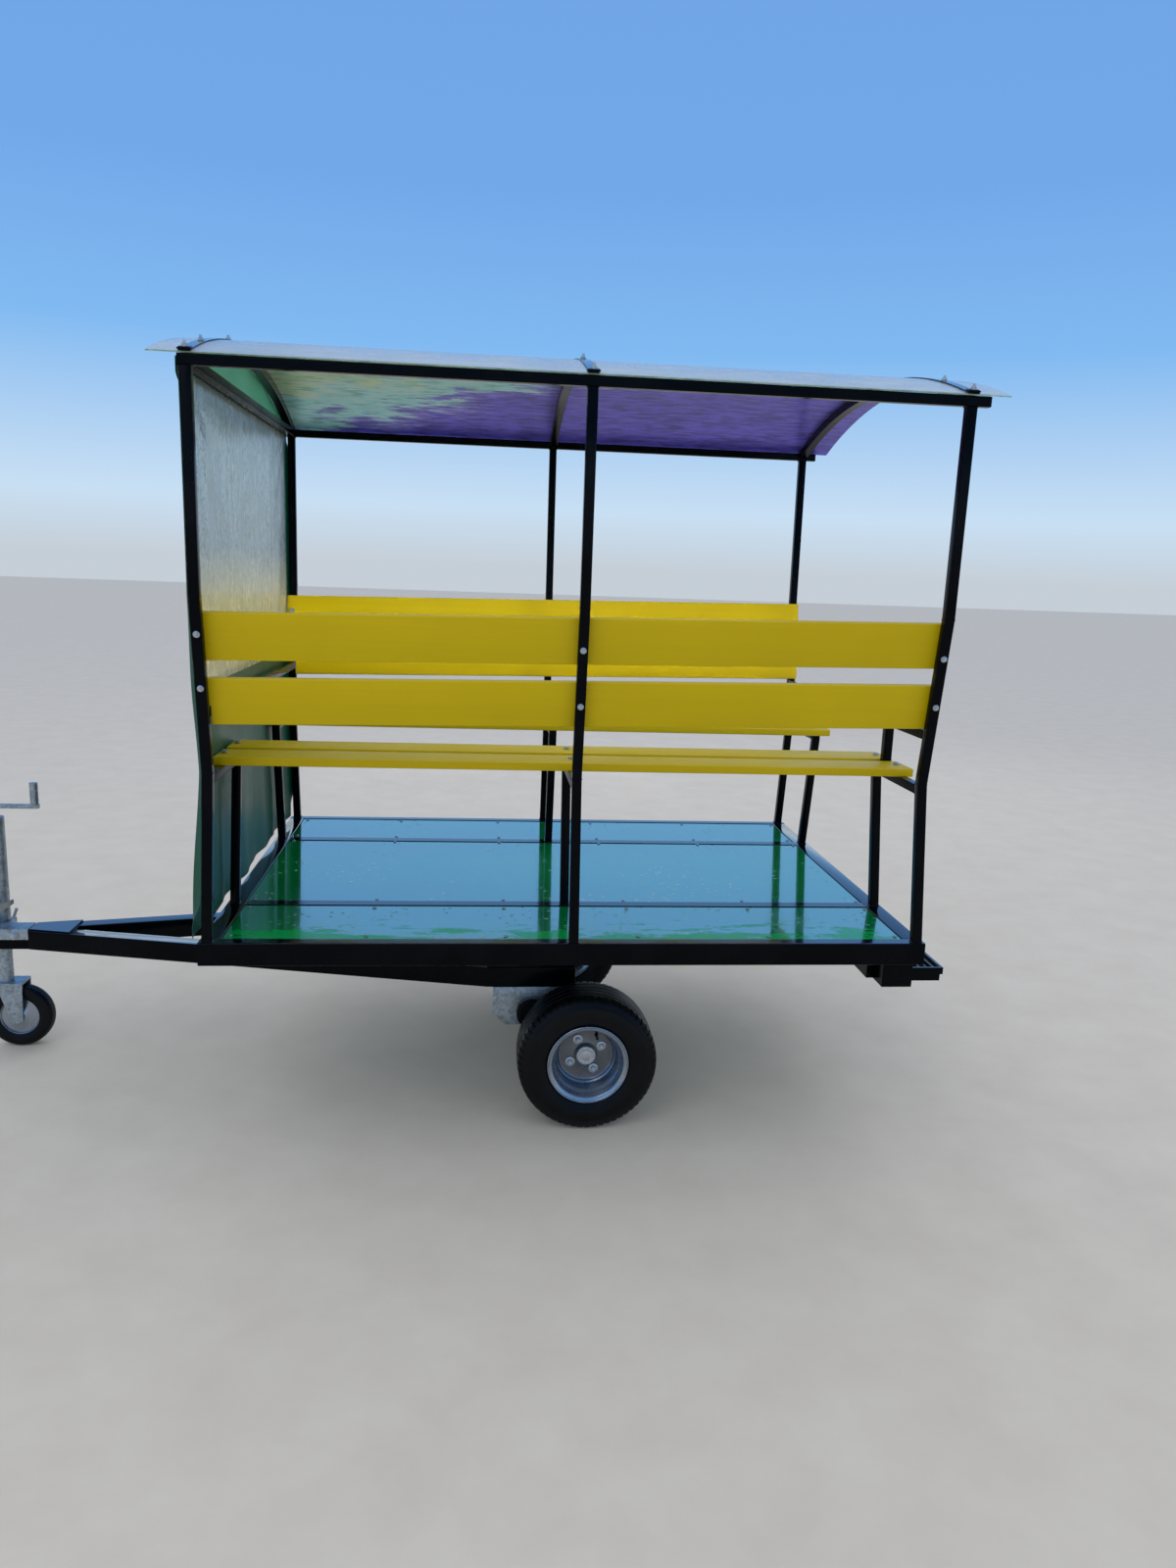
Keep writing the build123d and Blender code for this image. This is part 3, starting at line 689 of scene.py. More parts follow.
# %% [markdown]
# ## Rims
# The rim is a pressed steel dish: a rolled lip, the seat for the tyre, a step down into the well, and the
# disc that is bolted to the hub. From outside one looks deep into it, so the inner side of the section
# matters as much as the lip. One closed outline of (y, radius) points, spun, gives both faces and the
# thickness of the steel between them.

# %% Rim
dish_face = [
    (0.0740, 0.1128), (0.0736, 0.1114), (0.0716, 0.1102), (0.0702, 0.1080), (0.0694, 0.1040),
    (0.0672, 0.1010), (0.0640, 0.0992), (0.0500, 0.0970), (0.0455, 0.0948), (0.0415, 0.0910),
    (0.0382, 0.0888), (0.0340, 0.0880), (0.0130, 0.0874), (0.0095, 0.0866), (0.0068, 0.0848),
    (0.0048, 0.0820), (0.0020, 0.0798), (-0.0008, 0.0782), (-0.0020, 0.0750), (-0.0020, 0.0480),
    (-0.0006, 0.0365), (0.0002, 0.0335), (-0.0004, 0.0305),
]
dish_back = [
    (-0.0036, 0.0302), (-0.0046, 0.0335), (-0.0060, 0.0480), (-0.0060, 0.0790), (-0.0075, 0.0842),
    (-0.0110, 0.0868), (-0.0400, 0.0880), (-0.0480, 0.0955), (-0.0655, 0.0985), (-0.0686, 0.1030),
    (-0.0702, 0.1080), (-0.0716, 0.1102), (-0.0736, 0.1114), (-0.0740, 0.1128), (-0.0732, 0.1140),
    (-0.0706, 0.1136), (-0.0692, 0.1112), (-0.0690, 0.1060), (-0.0676, 0.1014), (-0.0500, 0.1002),
    (-0.0440, 0.0980), (-0.0400, 0.0928), (-0.0350, 0.0912), (0.0350, 0.0912), (0.0400, 0.0928),
    (0.0440, 0.0980), (0.0500, 0.1002), (0.0676, 0.1014), (0.0690, 0.1060), (0.0692, 0.1112),
    (0.0706, 0.1136), (0.0732, 0.1140),
]
for side, sign in (("left", 1), ("right", -1)):
    section = [(sign * y, r) for y, r in dish_face + dish_back]
    rim = spun("dished_rim_" + side, section, (wheel_x, sign * wheel_y, wheel_z), steps=96)
    smooth(rim, 40)
    dress(rim, "wheel_" + side, wheel_silver)
    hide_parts("rim_" + side)

# %% [markdown]
# ## Nuts and bolts
# Two recipes make every fastener: a hexagon nut on its washer with the end of the bolt standing out, and a
# round head for coach bolts and screws. A wheel nut is the same nut, longer and on a thick raised seat. Each
# is modelled once on the origin, standing along Z, and copied later. The hexagon is a six-sided cylinder
# whose top is inset and pushed up for the bolt's end, with a bevel that breaks its corners.

# %% Models of fasteners
def settle(piece):
    """Puts the object's place into its mesh and leaves it at the origin."""
    select_only(piece)
    bpy.ops.object.transform_apply(location=True, rotation=True, scale=True)


def nut_on_washer(name, across, high, stud_radius, stud_high, washer_radius, washer_high):
    """A hexagon nut; across is the radius of its corners."""
    piece = start(name, bpy.ops.mesh.primitive_cylinder_add, vertices=20, radius=washer_radius,
                  depth=washer_high, location=(0, 0, washer_high / 2))
    settle(piece)
    edit(piece, "FACE")
    bpy.ops.mesh.select_all(action="DESELECT")
    middle = washer_high + high / 2
    bpy.ops.mesh.primitive_cylinder_add(vertices=6, radius=across, depth=high, location=(0, 0, middle))
    leave()
    top = washer_high + high
    pick_faces(piece, lambda face: face.center.z > top - 0.0001 and face.normal.z > 0.9)
    flat_half = across * 0.866
    bpy.ops.mesh.inset(thickness=flat_half - stud_radius)
    bpy.ops.mesh.extrude_region_move(TRANSFORM_OT_translate={"value": (0, 0, stud_high)})
    leave()
    broken_corner = across * 0.09
    with_modifier(piece, "BEVEL", width=broken_corner, segments=2, limit_method="ANGLE",
                  angle_limit=math.radians(35))
    smooth(piece)
    return piece


def domed_head(name, radius, high):
    """A round head: the top of a ball, flattened, on a thin rim."""
    piece = start(name, bpy.ops.mesh.primitive_uv_sphere_add, segments=20, ring_count=12, radius=radius)
    edit(piece)
    bpy.ops.mesh.select_all(action="SELECT")
    bpy.ops.mesh.bisect(plane_co=(0, 0, 0.0001), plane_no=(0, 0, 1), use_fill=True, clear_inner=True)
    bpy.ops.mesh.select_all(action="SELECT")
    bpy.ops.transform.resize(value=(1, 1, high / radius))
    bpy.ops.mesh.select_all(action="SELECT")
    bpy.ops.mesh.normals_make_consistent(inside=False)
    leave()
    smooth(piece, 50)
    return piece


frame_nut = nut_on_washer("frame_nut", across=0.0068, high=0.0045, stud_radius=0.0032, stud_high=0.0022,
                          washer_radius=0.0082, washer_high=0.0012)
big_nut = nut_on_washer("big_nut", across=0.0105, high=0.0075, stud_radius=0.0052, stud_high=0.0030,
                        washer_radius=0.0120, washer_high=0.0018)
wheel_nut = nut_on_washer("wheel_nut", across=0.0088, high=0.0105, stud_radius=0.0052, stud_high=0.0035,
                          washer_radius=0.0142, washer_high=0.0030)
coach_head = domed_head("coach_head", radius=0.0095, high=0.0038)
screw_head = domed_head("screw_head", radius=0.0060, high=0.0026)
patterns = [frame_nut, big_nut, wheel_nut, coach_head, screw_head]
print("fastener models", [len(pattern.data.polygons) for pattern in patterns])

# %% [markdown]
# ## Where the fasteners go
# Each back plank is bolted through the post with a nut outside and a domed head inside. The slats have one
# coach bolt at every bench frame, and the deck boards are screwed down in rows along their edges. The places
# along the trailer are those of the posts, and the heights were read from the photograph. The posts lean,
# so the bolts lean with them: the lean is the slope of the post's line between its two bends. One helper
# copies a model to every place and joins the copies to one piece.

# %% Fasteners on the trailer
def copies(source, name, places, body, material):
    """Copies a small model that stands on the origin along Z to each (place, direction), as one piece."""
    made = []
    for place, direction in places:
        twin = source.copy()
        twin.data = source.data.copy()
        bpy.context.collection.objects.link(twin)
        stand_up = Vector(direction).to_track_quat("Z", "Y").to_matrix().to_4x4()
        twin.matrix_world = Matrix.Translation(place) @ stand_up
        made.append(twin)
    bpy.ops.object.select_all(action="DESELECT")
    for twin in made:
        twin.select_set(True)
    bpy.context.view_layer.objects.active = made[0]
    bpy.ops.object.transform_apply(location=True, rotation=True, scale=True)
    bpy.ops.object.join()
    piece = bpy.context.object
    piece.name = name
    piece.data.name = name
    dress(piece, body, material)
    return piece


post_places = {"front": 0.4985, "mid": -0.4165, "rear": -1.3315}
kink_height, shoulder_height, head_height = 1.028, 1.462, 1.970
kink_half, shoulder_half, head_half = 0.635, 0.7045, 0.7125
lean = (shoulder_half - kink_half) / (shoulder_height - kink_height)
outward = math.sqrt(1 + lean ** 2)
tube, plank = 0.025, 0.020
deck_top, foot_half, seat_top, board_top = 0.612, 0.700, 1.047, 0.610


def post_half(z):
    """Half width over the posts' outer faces at a height."""
    line = [(deck_top, foot_half), (kink_height, kink_half), (shoulder_height, shoulder_half),
            (head_height, head_half)]
    return float(np.interp(z, [p[0] for p in line], [p[1] for p in line]))


plank_bolts = {"front": (1.242, 1.372), "mid": (1.218, 1.359), "rear": (1.237, 1.363)}
nuts, heads = [], []
for post, heights in plank_bolts.items():
    for z in heights:
        for sign in (1, -1):
            outer = post_half(z)
            nuts.append(((post_places[post], sign * outer, z), (0, sign, -lean)))
            inner = outer - tube - plank * outward
            heads.append(((post_places[post], sign * inner, z), (0, -sign, lean)))
slat_bolts = (0.282, 0.442)
for post, x in post_places.items():
    for y in slat_bolts:
        heads += [((x, sign * y, seat_top), (0, 0, 1)) for sign in (1, -1)]
deck_rows = (0.454, 0.114, -0.244, -0.592, -0.944, -1.292)
deck_lines = (0.331, 0.405, 0.640)
screws = [((x, sign * y, board_top), (0, 0, 1)) for x in deck_rows for y in deck_lines for sign in (1, -1)]
copies(frame_nut, "plank_nuts", nuts, "trailer", plated)
copies(coach_head, "coach_bolts", heads, "trailer", plated)
copies(screw_head, "deck_screws", screws, "trailer", plated)

# %% [markdown]
# ## Wheel nuts, caps and valves
# Four nuts hold each wheel, on a circle of 50 millimetres radius. A rubber valve stands in the disc between
# two of them. The middle of the hub is closed by a pressed cap with dimples round its edge. The cap is spun
# from its outline, and every fourth face of its shoulder is pushed in for the dimples.

# %% Wheel details
nut_circle, nut_start = 0.050, 62
valve_circle, valve_angle = 0.064, 117
cap_outline = [(0.0118, 0.0282), (0.0132, 0.0282), (0.0150, 0.0270), (0.0158, 0.0245), (0.0160, 0.0215),
               (0.0150, 0.0190), (0.0146, 0.0120), (0.0158, 0.0095), (0.0160, 0.0050), (0.0160, 0.0)]
valve_outline = [(0.0, 0.0), (0.0, 0.0052), (0.0040, 0.0050), (0.0060, 0.0036), (0.0200, 0.0034),
                 (0.0210, 0.0040), (0.0280, 0.0040), (0.0286, 0.0034), (0.0286, 0.0)]
disc_face = 0.462
cap_steps, dimple_depth = 48, 0.0010
cap_edge_inner, cap_edge_outer = 0.0195, 0.0268
for side, sign in (("left", 1), ("right", -1)):
    def on_disc(radius, angle):
        a = math.radians(angle)
        return (wheel_x + radius * math.cos(a), sign * disc_face, wheel_z + radius * math.sin(a))

    nuts = [(on_disc(nut_circle, nut_start + 90 * k), (0, sign, 0)) for k in range(4)]
    copies(wheel_nut, "wheel_nuts_" + side, nuts, "wheel_" + side, plated)
    outline = [(sign * y, r) for y, r in cap_outline]
    cap = spun("hub_cap_" + side, outline, (wheel_x, sign * wheel_y, wheel_z), cap_steps, closed=False)

    def on_cap_edge(face):
        out = math.hypot(face.center.x - wheel_x, face.center.z - wheel_z)
        return cap_edge_inner < out < cap_edge_outer and turn_step(face, cap_steps) % 4 == 0

    pick_faces(cap, on_cap_edge)
    bpy.ops.mesh.extrude_region_shrink_fatten(TRANSFORM_OT_shrink_fatten={"value": -dimple_depth})
    leave()
    smooth(cap, 40)
    dress(cap, "wheel_" + side, plated)
    valve_place = on_disc(valve_circle, valve_angle)
    outline = [(sign * y, r) for y, r in valve_outline]
    valve = spun("valve_" + side, outline, valve_place, steps=16, closed=False)
    smooth(valve, 40)
    dress(valve, "wheel_" + side, black_plastic)

# %% [markdown]
# ## Welds
# The frame is welded from square tube. Each joint has a bead on every side, a row of small overlapping
# scales under the paint. One bead as long as the tube is wide serves them all: a small ring is pushed along
# step by step and swells and shrinks on the way. Beads go round each post at its foot, its bends and its
# head, at the feet of the bench legs, and where the cross bars meet the posts.

# %% Weld bead
def weld_bead(name, radius, long, scales):
    """A bead along Z with a swelling for each scale."""
    piece = start(name, bpy.ops.mesh.primitive_circle_add, vertices=8, radius=radius * 0.5, fill_type="NGON",
                  location=(0, 0, -long / 2))
    settle(piece)
    edit(piece, "FACE")
    bpy.ops.mesh.select_all(action="SELECT")
    step = long / (2 * scales)
    grow = (1.9, 0.78) + (1.28, 0.78) * (scales - 2) + (1.28, 0.5)
    for value in grow:
        bpy.ops.mesh.extrude_region_move(TRANSFORM_OT_translate={"value": (0, 0, step)})
        bpy.ops.transform.resize(value=(value, value, 1))
    bpy.ops.mesh.select_all(action="SELECT")
    bpy.ops.mesh.normals_make_consistent(inside=False)
    leave()
    smooth(piece, 60)
    return piece


def round_tube(x, low, high, z, sides=("out", "in", "front", "back"), slope=0.0):
    """Places of the beads round an upright tube that spans low to high across; slope tilts the ring."""
    middle = (low + high) / 2
    tilt = slope * (high - low) / 2
    along, over = (1, 0, 0), (0, high - low, 2 * tilt)
    spots = {"out": ((x, high, z + tilt), along), "in": ((x, low, z - tilt), along),
             "front": ((x + tube / 2, middle, z), over), "back": ((x - tube / 2, middle, z), over)}
    return [spots[side] for side in sides]


fine_bead = weld_bead("fine_bead", radius=0.0016, long=tube, scales=7)
full_bead = weld_bead("full_bead", radius=0.0026, long=tube, scales=6)
patterns += [fine_bead, full_bead]
print("beads", fine_bead.name, full_bead.name)

# %% [markdown]
# ## Where the welds go
# The beads of one side are listed from the sizes of the tubes, and those of the other side are their
# mirror image. The post's bends get the fine bead, because they are ground nearly flat, and all other joints
# get the full one.

# %% Welds on the frame
leg_half = 0.3795
bench_bar_edges, window_bar_edges = (1.000, 1.025), (1.170, 1.195)
bends, joints = [], []
for x in post_places.values():
    for z in (kink_height, shoulder_height):
        bends += round_tube(x, post_half(z) - tube, post_half(z), z)
    joints += round_tube(x, foot_half - tube, foot_half, deck_top, ("in", "front", "back"))
    joints += round_tube(x, head_half - tube, head_half, head_height, ("in", "front", "back"))
    joints += round_tube(x, leg_half - tube, leg_half, deck_top)
    for z in bench_bar_edges:
        joints.append(((x, post_half(z) - tube, z), (1, 0, 0)))
for z in window_bar_edges:
    joints.append(((post_places["front"], post_half(z) - tube, z), (1, 0, 0)))


def both_sides(places):
    return places + [((x, -y, z), (dx, -dy, dz)) for (x, y, z), (dx, dy, dz) in places]


copies(fine_bead, "bend_welds", both_sides(bends), "trailer", gloss_black)
copies(full_bead, "joint_welds", both_sides(joints), "trailer", gloss_black)

# %% [markdown]
# ## The roof's finish
# The roof is a thin smoky plastic sheet bent over the bows. From outside it mirrors the sky. From below it
# shows changing colours, aqua in front and purple behind, like oil on water, with ripples left by the
# rolling of the sheet. These colours are partly the sheet's own colour and partly a painted sheen: they
# stand for the shimmer and the sky that the sheet shows at a low angle, and the ripples are painted lighter
# and darker. Their border runs at a slant, so that the aqua reaches further back towards the left side, and
# it wanders with a noise. The colour is laid by place, not by viewing direction, so that it stays put when
# one walks round. The two sides of the sheet get a finish each, because they look so different.

# %% Roof finish
def ripples(tree, stretch):
    fine = noise(tree, place_on(tree, stretch), 1.0, 5.0, 0.62)
    swirl = add(tree, "TexNoise", {"Vector": place_on(tree, (3.5, 5.0, 5.0)), "Scale": 1.0, "Detail": 3.0,
                                   "Distortion": 1.6})
    return fine, swirl


aqua_forward, aqua_leftward, aqua_start = 0.55, 0.90, 0.68
roof_below, tree, shader = finish("roof_below", IOR=1.2, Transmission_Weight=0.8, Roughness=0.3)
fine, swirl = ripples(tree, (14.0, 60.0, 60.0))
parts = tree.nodes.new("ShaderNodeSeparateXYZ")
tree.links.new(place_on(tree), parts.inputs["Vector"])
forward = add(tree, "Math", {0: parts.outputs["X"], 1: aqua_forward, 2: aqua_start}, operation="MULTIPLY_ADD")
slanted = add(tree, "Math", {0: parts.outputs["Y"], 1: aqua_leftward, 2: forward}, operation="MULTIPLY_ADD")
wander = add(tree, "Math", {0: swirl, 1: 0.5, 2: slanted}, operation="MULTIPLY_ADD")
streaked = add(tree, "Math", {0: fine, 1: 0.35, 2: wander}, operation="MULTIPLY_ADD")
# painted sheen: the aqua and purple are partly the sheet's own colour and partly painted shimmer and sky
painted_sheen_colours = [(0.60, seen(122, 108, 222)), (0.69, seen(158, 148, 238)), (0.745, seen(186, 252, 244)),
               (0.93, seen(196, 255, 240)), (1.0, seen(222, 255, 200))]
colour = ramp(tree, streaked, painted_sheen_colours)
# painted sheen: the ripples make the colour lighter and darker
ripple_sheen = ramp(tree, fine, [(0.36, 0.62), (0.48, 1.0), (0.60, 1.6)])
tree.links.new(mixed(tree, 1.0, colour, ripple_sheen, "MULTIPLY"), shader.inputs["Base Color"])
tree.links.new(height(tree, fine, 0.004, 0.5), shader.inputs["Normal"])

roof_above, tree, shader = finish("roof_above", Specular_IOR_Level=0.5, Transmission_Weight=0.5)
fine, swirl = ripples(tree, (5.0, 22.0, 22.0))
tree.links.new(mixed(tree, swirl, seen(222, 230, 238), seen(242, 246, 250)), shader.inputs["Base Color"])
tree.links.new(ramp(tree, swirl, [(0.3, 0.12), (0.7, 0.26)]), shader.inputs["Roughness"])
tree.links.new(height(tree, fine, 0.002, 0.25), shader.inputs["Normal"])
print("roof finishes made")

# %% [markdown]
# ## The roof sheets
# Two sheets meet over the middle bow, where a strap covers the joint. Each starts as one corner point that is
# pushed along to make a straight edge, which is then spun about the axis of the bows through the angle that
# the sheet covers. A solidify modifier gives it three millimetres, and the faces that look down take the
# second finish.

# %% Roof sheets
bow_axis_z, sheet_radius, sheet_half = -0.042253, 2.158253, 0.7135
half_angle = math.asin(sheet_half / sheet_radius)


def roof_sheet(name, x0, x1, steps_along):
    piece = start(name, bpy.ops.mesh.primitive_plane_add, size=0.001)
    edit(piece)
    bpy.ops.mesh.select_all(action="SELECT")
    bpy.ops.mesh.merge(type="CENTER")
    bpy.ops.transform.translate(value=(x0, -sheet_half, bow_axis_z + sheet_radius * math.cos(half_angle)))
    for _ in range(steps_along):
        bpy.ops.mesh.extrude_region_move(TRANSFORM_OT_translate={"value": ((x1 - x0) / steps_along, 0, 0)})
    bpy.ops.mesh.select_all(action="SELECT")
    bpy.ops.mesh.spin(steps=56, angle=2 * half_angle, center=(0, 0, bow_axis_z), axis=(1, 0, 0))
    bpy.ops.mesh.select_all(action="SELECT")
    bpy.ops.mesh.remove_doubles(threshold=0.00002)
    leave()
    mesh = piece.data
    if sum(face.normal.z for face in mesh.polygons) < 0:
        mesh.flip_normals()
    with_modifier(piece, "SOLIDIFY", thickness=0.003, offset=1.0)
    smooth(piece, 30)
    dress(piece, "trailer", roof_above)
    mesh.materials.append(roof_below)
    pick_faces(piece, lambda face: face.normal.z < -0.3)
    piece.active_material_index = 1
    bpy.ops.object.material_slot_assign()
    leave()
    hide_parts("roof_sheet")


joint_gap = 0.0006
front_end, rear_end = 0.582, -1.424
roof_sheet("roof_sheet_front", post_places["mid"] + joint_gap, front_end, steps_along=12)
roof_sheet("roof_sheet_rear", rear_end, post_places["mid"] - joint_gap, steps_along=12)

# %% [markdown]
# ## Strap ends and roof screws
# A steel strap holds the sheets down over each bow. At both ends a flat clip lies on it above the roof rail,
# and an upright screw goes down through the clip. More screws stand along the straps. The clip is a block
# whose top is inset and raised a little, and the screw is the nut on its washer with a longer end.

# %% Strap ends
clip_long, clip_wide, clip_thick, clip_rise = 0.032, 0.020, 0.004, 0.0015
clip = start("strap_clip", bpy.ops.mesh.primitive_cube_add, size=1)
edit(clip)
bpy.ops.mesh.select_all(action="SELECT")
bpy.ops.transform.resize(value=(clip_long, clip_wide, clip_thick))
leave()
pick_faces(clip, lambda face: face.normal.z > 0.9)
bpy.ops.mesh.inset(thickness=0.0025)
bpy.ops.mesh.extrude_region_move(TRANSFORM_OT_translate={"value": (0, 0, clip_rise)})
leave()
with_modifier(clip, "BEVEL", width=0.0007, segments=2, limit_method="ANGLE", angle_limit=math.radians(35))
smooth(clip)
strap_nut = nut_on_washer("strap_nut", across=0.0068, high=0.0050, stud_radius=0.0032, stud_high=0.0065,
                          washer_radius=0.0082, washer_high=0.0012)
patterns += [clip, strap_nut]

strap_top = 0.006
strap_radius = sheet_radius + strap_top
clip_middle = 0.7030
screw_rows = {"front": (0.555, 0.260), "mid": (0.415,), "rear": (0.525,)}


def on_strap(x, y, above):
    """A place over a strap and the direction that stands upright on it."""
    z = math.sqrt(strap_radius ** 2 - y ** 2)
    out = Vector((0, y, z)).normalized()
    return Vector((x, 0, bow_axis_z)) + out * (strap_radius + above), out


clips, screws = [], []
for post, x in post_places.items():
    for sign in (1, -1):
        clips.append(on_strap(x, sign * clip_middle, clip_thick / 2))
        screws.append(on_strap(x, sign * clip_middle, clip_thick + clip_rise))
        screws += [on_strap(x, sign * y, 0.0) for y in screw_rows[post]]
copies(clip, "strap_clips", clips, "trailer", gloss_black)
copies(strap_nut, "strap_screws", screws, "trailer", plated)

# %% [markdown]
# ## The tarpaulin's finish
# The front wall is a coated tarpaulin. The coating is smooth and a little glossy over a faint weave. Above
# the upper bar the cloth stands free under the clear roof, and light shines through it: a ramp on the height
# makes it paler there. Two crossed waves make the weave, and a broad noise the creases.

# %% Tarpaulin finish
tarp_coated, tree, shader = finish("tarp_coated", Specular_IOR_Level=0.35, Transmission_Weight=0.45)
broad = noise(tree, place_on(tree), 4.0, 5.0, 0.6)
base = mixed(tree, broad, seen(4, 84, 62), seen(10, 112, 80))
parts = tree.nodes.new("ShaderNodeSeparateXYZ")
tree.links.new(place_on(tree), parts.inputs["Vector"])
light_starts, light_full = 1.972, 2.012
lit = add(tree, "MapRange", {"Value": parts.outputs["Z"], "From Min": light_starts, "From Max": light_full})
base = mixed(tree, lit, base, seen(150, 250, 214))
tree.links.new(base, shader.inputs["Base Color"])
tree.links.new(ramp(tree, broad, [(0.3, 0.34), (0.75, 0.5)]), shader.inputs["Roughness"])
weave_a = add(tree, "TexWave", {"Vector": place_on(tree), "Scale": 260.0}, bands_direction="Y")
weave_b = add(tree, "TexWave", {"Vector": place_on(tree), "Scale": 260.0}, bands_direction="Z")
weave = mixed(tree, 0.5, weave_a, weave_b)
creased = height(tree, noise(tree, place_on(tree, (9.0, 9.0, 9.0)), 1.0, 5.0, 0.65), 0.006, 0.35)
tree.links.new(height(tree, weave, 0.0002, 0.3, creased), shader.inputs["Normal"])
print("tarpaulin finish made")

# %% [markdown]
# ## The window's finish
# The window is a clear sheet, and an old one: it has a whitish, cloudy haze, rain has run down it in
# streaks, and fine drops cling to it. Towards its foot the haze is painted paler and warmer, as painted
# light for the bright horizon seen through the sheet. The streaks are a noise squeezed sideways, and the
# specks are a cell pattern that the streaks let through in places.

# %% Window finish
horizon_light_top, horizon_light_foot = 1.58, 1.44
clear_sheet, tree, shader = finish("clear_sheet", IOR=1.3, Transmission_Weight=0.72, Specular_IOR_Level=0.4)
streaks = noise(tree, place_on(tree, (1.0, 26.0, 2.4)), 1.0, 4.0, 0.5)
haze = noise(tree, place_on(tree), 3.0, 4.0, 0.6)
parts = tree.nodes.new("ShaderNodeSeparateXYZ")
tree.links.new(place_on(tree), parts.inputs["Vector"])
# painted light: paler and warmer towards the foot, for the bright horizon seen through
low_down = add(tree, "MapRange", {"Value": parts.outputs["Z"], "From Min": horizon_light_top, "From Max": horizon_light_foot})
haze_and_horizon_light = mixed(tree, low_down, seen(190, 204, 206), seen(255, 246, 206))
spots = add(tree, "TexVoronoi", {"Vector": place_on(tree), "Scale": 85.0, "Randomness": 1.0})
run_off = ramp(tree, streaks, [(0.42, 1.0), (0.56, 0.25)])
speckle = mixed(tree, 1.0, ramp(tree, spots, [(0.16, 1.0), (0.44, 0.0)]), run_off, "MULTIPLY")
speckle = mixed(tree, low_down, speckle, (0.06, 0.06, 0.06, 1.0))
tree.links.new(mixed(tree, speckle, haze_and_horizon_light, seen(96, 112, 110)), shader.inputs["Base Color"])
tree.links.new(ramp(tree, streaks, [(0.35, 0.2), (0.7, 0.36)]), shader.inputs["Roughness"])
beads = add(tree, "TexVoronoi", {"Vector": place_on(tree), "Scale": 160.0, "Randomness": 1.0})
wet = height(tree, ramp(tree, beads, [(0.0, 1.0), (0.25, 0.0)]), 0.0012, 0.6)
wet = height(tree, streaks, 0.001, 0.12, wet)
tree.links.new(height(tree, haze, 0.01, 0.2, wet), shader.inputs["Normal"])
print("window finish made")

# %% [markdown]
# ## The tarpaulin
# The tarpaulin hangs from the front bow and is laced to the posts, so it is nearly flat above and falls in
# soft upright folds below, with its hem lifted here and there. The lacing pulls its side edges back against
# the posts. A cloth simulation could make the folds. A few waves give more say over where they fall, and
# give them at once: they grow towards the hem and die out at the window.

# %% Folds of the tarpaulin
lacing_pull = 0.0064
lacing_inner, lacing_outer = 0.022, 0.008
lacing_foot, lacing_head = (0.65, 0.72), (1.955, 1.93)
hem_rises = [(0.431, 0.055, 0.008), (-0.295, 0.085, 0.010)]
folds_end, folds_full = 1.18, 0.70
broad_fold, small_fold = 0.013, 0.004
bulge_deep, bulge_y, bulge_z = 0.010, 0.60, 1.27
crown_starts, crown_full, crown_deep = 2.0, 2.12, 0.010


def fade(value, start_at, end_at):
    """Runs smoothly from 0 at one value to 1 at another."""
    t = min(max((value - start_at) / (end_at - start_at), 0.0), 1.0)
    return t * t * (3 - 2 * t)


def lifted_hem(y):
    """Low rises of the hem; each has a place, a half width and a height."""
    return sum(high * math.exp(-((y - place) / half_width) ** 2) for place, half_width, high in hem_rises)


def hug(y, z):
    """How far the cloth's edge is pulled back against the post by its lacing."""
    edge = fade(abs(y), post_half(z) - lacing_inner, post_half(z) - lacing_outer)
    return lacing_pull * edge * fade(z, *lacing_foot) * fade(z, *lacing_head)


def fold_depth(y, z):
    """How far the cloth stands out towards the front."""
    low = fade(z, folds_end, folds_full)
    folds = 0.5 + 0.5 * math.sin(17 * y + 2.2 * math.sin(2.1 * z) + 0.8)
    small = 0.5 + 0.5 * math.sin(41 * y - 3.0 * z + 2.0)
    bulge = bulge_deep * math.exp(-((abs(y) - bulge_y) / 0.07) ** 2 - ((z - bulge_z) / 0.16) ** 2)
    crown = fade(z, crown_starts, crown_full) * crown_deep * (0.5 + 0.5 * math.sin(23 * y + 9 * z))
    return low * (broad_fold * folds + small_fold * small) + bulge + crown


print("fold depth below the window", [round(fold_depth(y / 10, 0.75), 4) for y in range(-6, 7, 3)])

# %% [markdown]
# ## Cutting and hanging the tarpaulin
# A flat grid is fitted to the cut: its sides follow the posts and its top follows the bow. The window is cut
# out along four straight lines, so that its edges stay straight whatever the grid. Each point is then moved
# forward by the depth of the folds, and a solidify modifier gives the cloth its thickness.

# %% Tarpaulin
tarp_back, tarp_low = 0.5180, 0.622
tarp_radius = 2.154253
side_gap, top_gap, top_wave = 0.001, 0.002, 0.004
lowest_corner = 0.632
window_half, window_low, window_high = 0.638, 1.249, 1.955
tarp = start("front_tarpaulin", bpy.ops.mesh.primitive_grid_add, x_subdivisions=128, y_subdivisions=132,
             size=2)
for vertex in tarp.data.vertices:
    u, v = vertex.co.x, (vertex.co.y + 1) / 2
    y = u * head_half
    bow_line = bow_axis_z + math.sqrt(tarp_radius ** 2 - y ** 2)
    top = bow_line - top_gap - top_wave * (0.5 + 0.5 * math.sin(31 * y))
    z = tarp_low + v * (top - tarp_low)
    y = u * (post_half(max(z, lowest_corner)) - side_gap)
    z += lifted_hem(y) * (1 - v) ** 6
    vertex.co = (tarp_back, y, z)
edit(tarp)
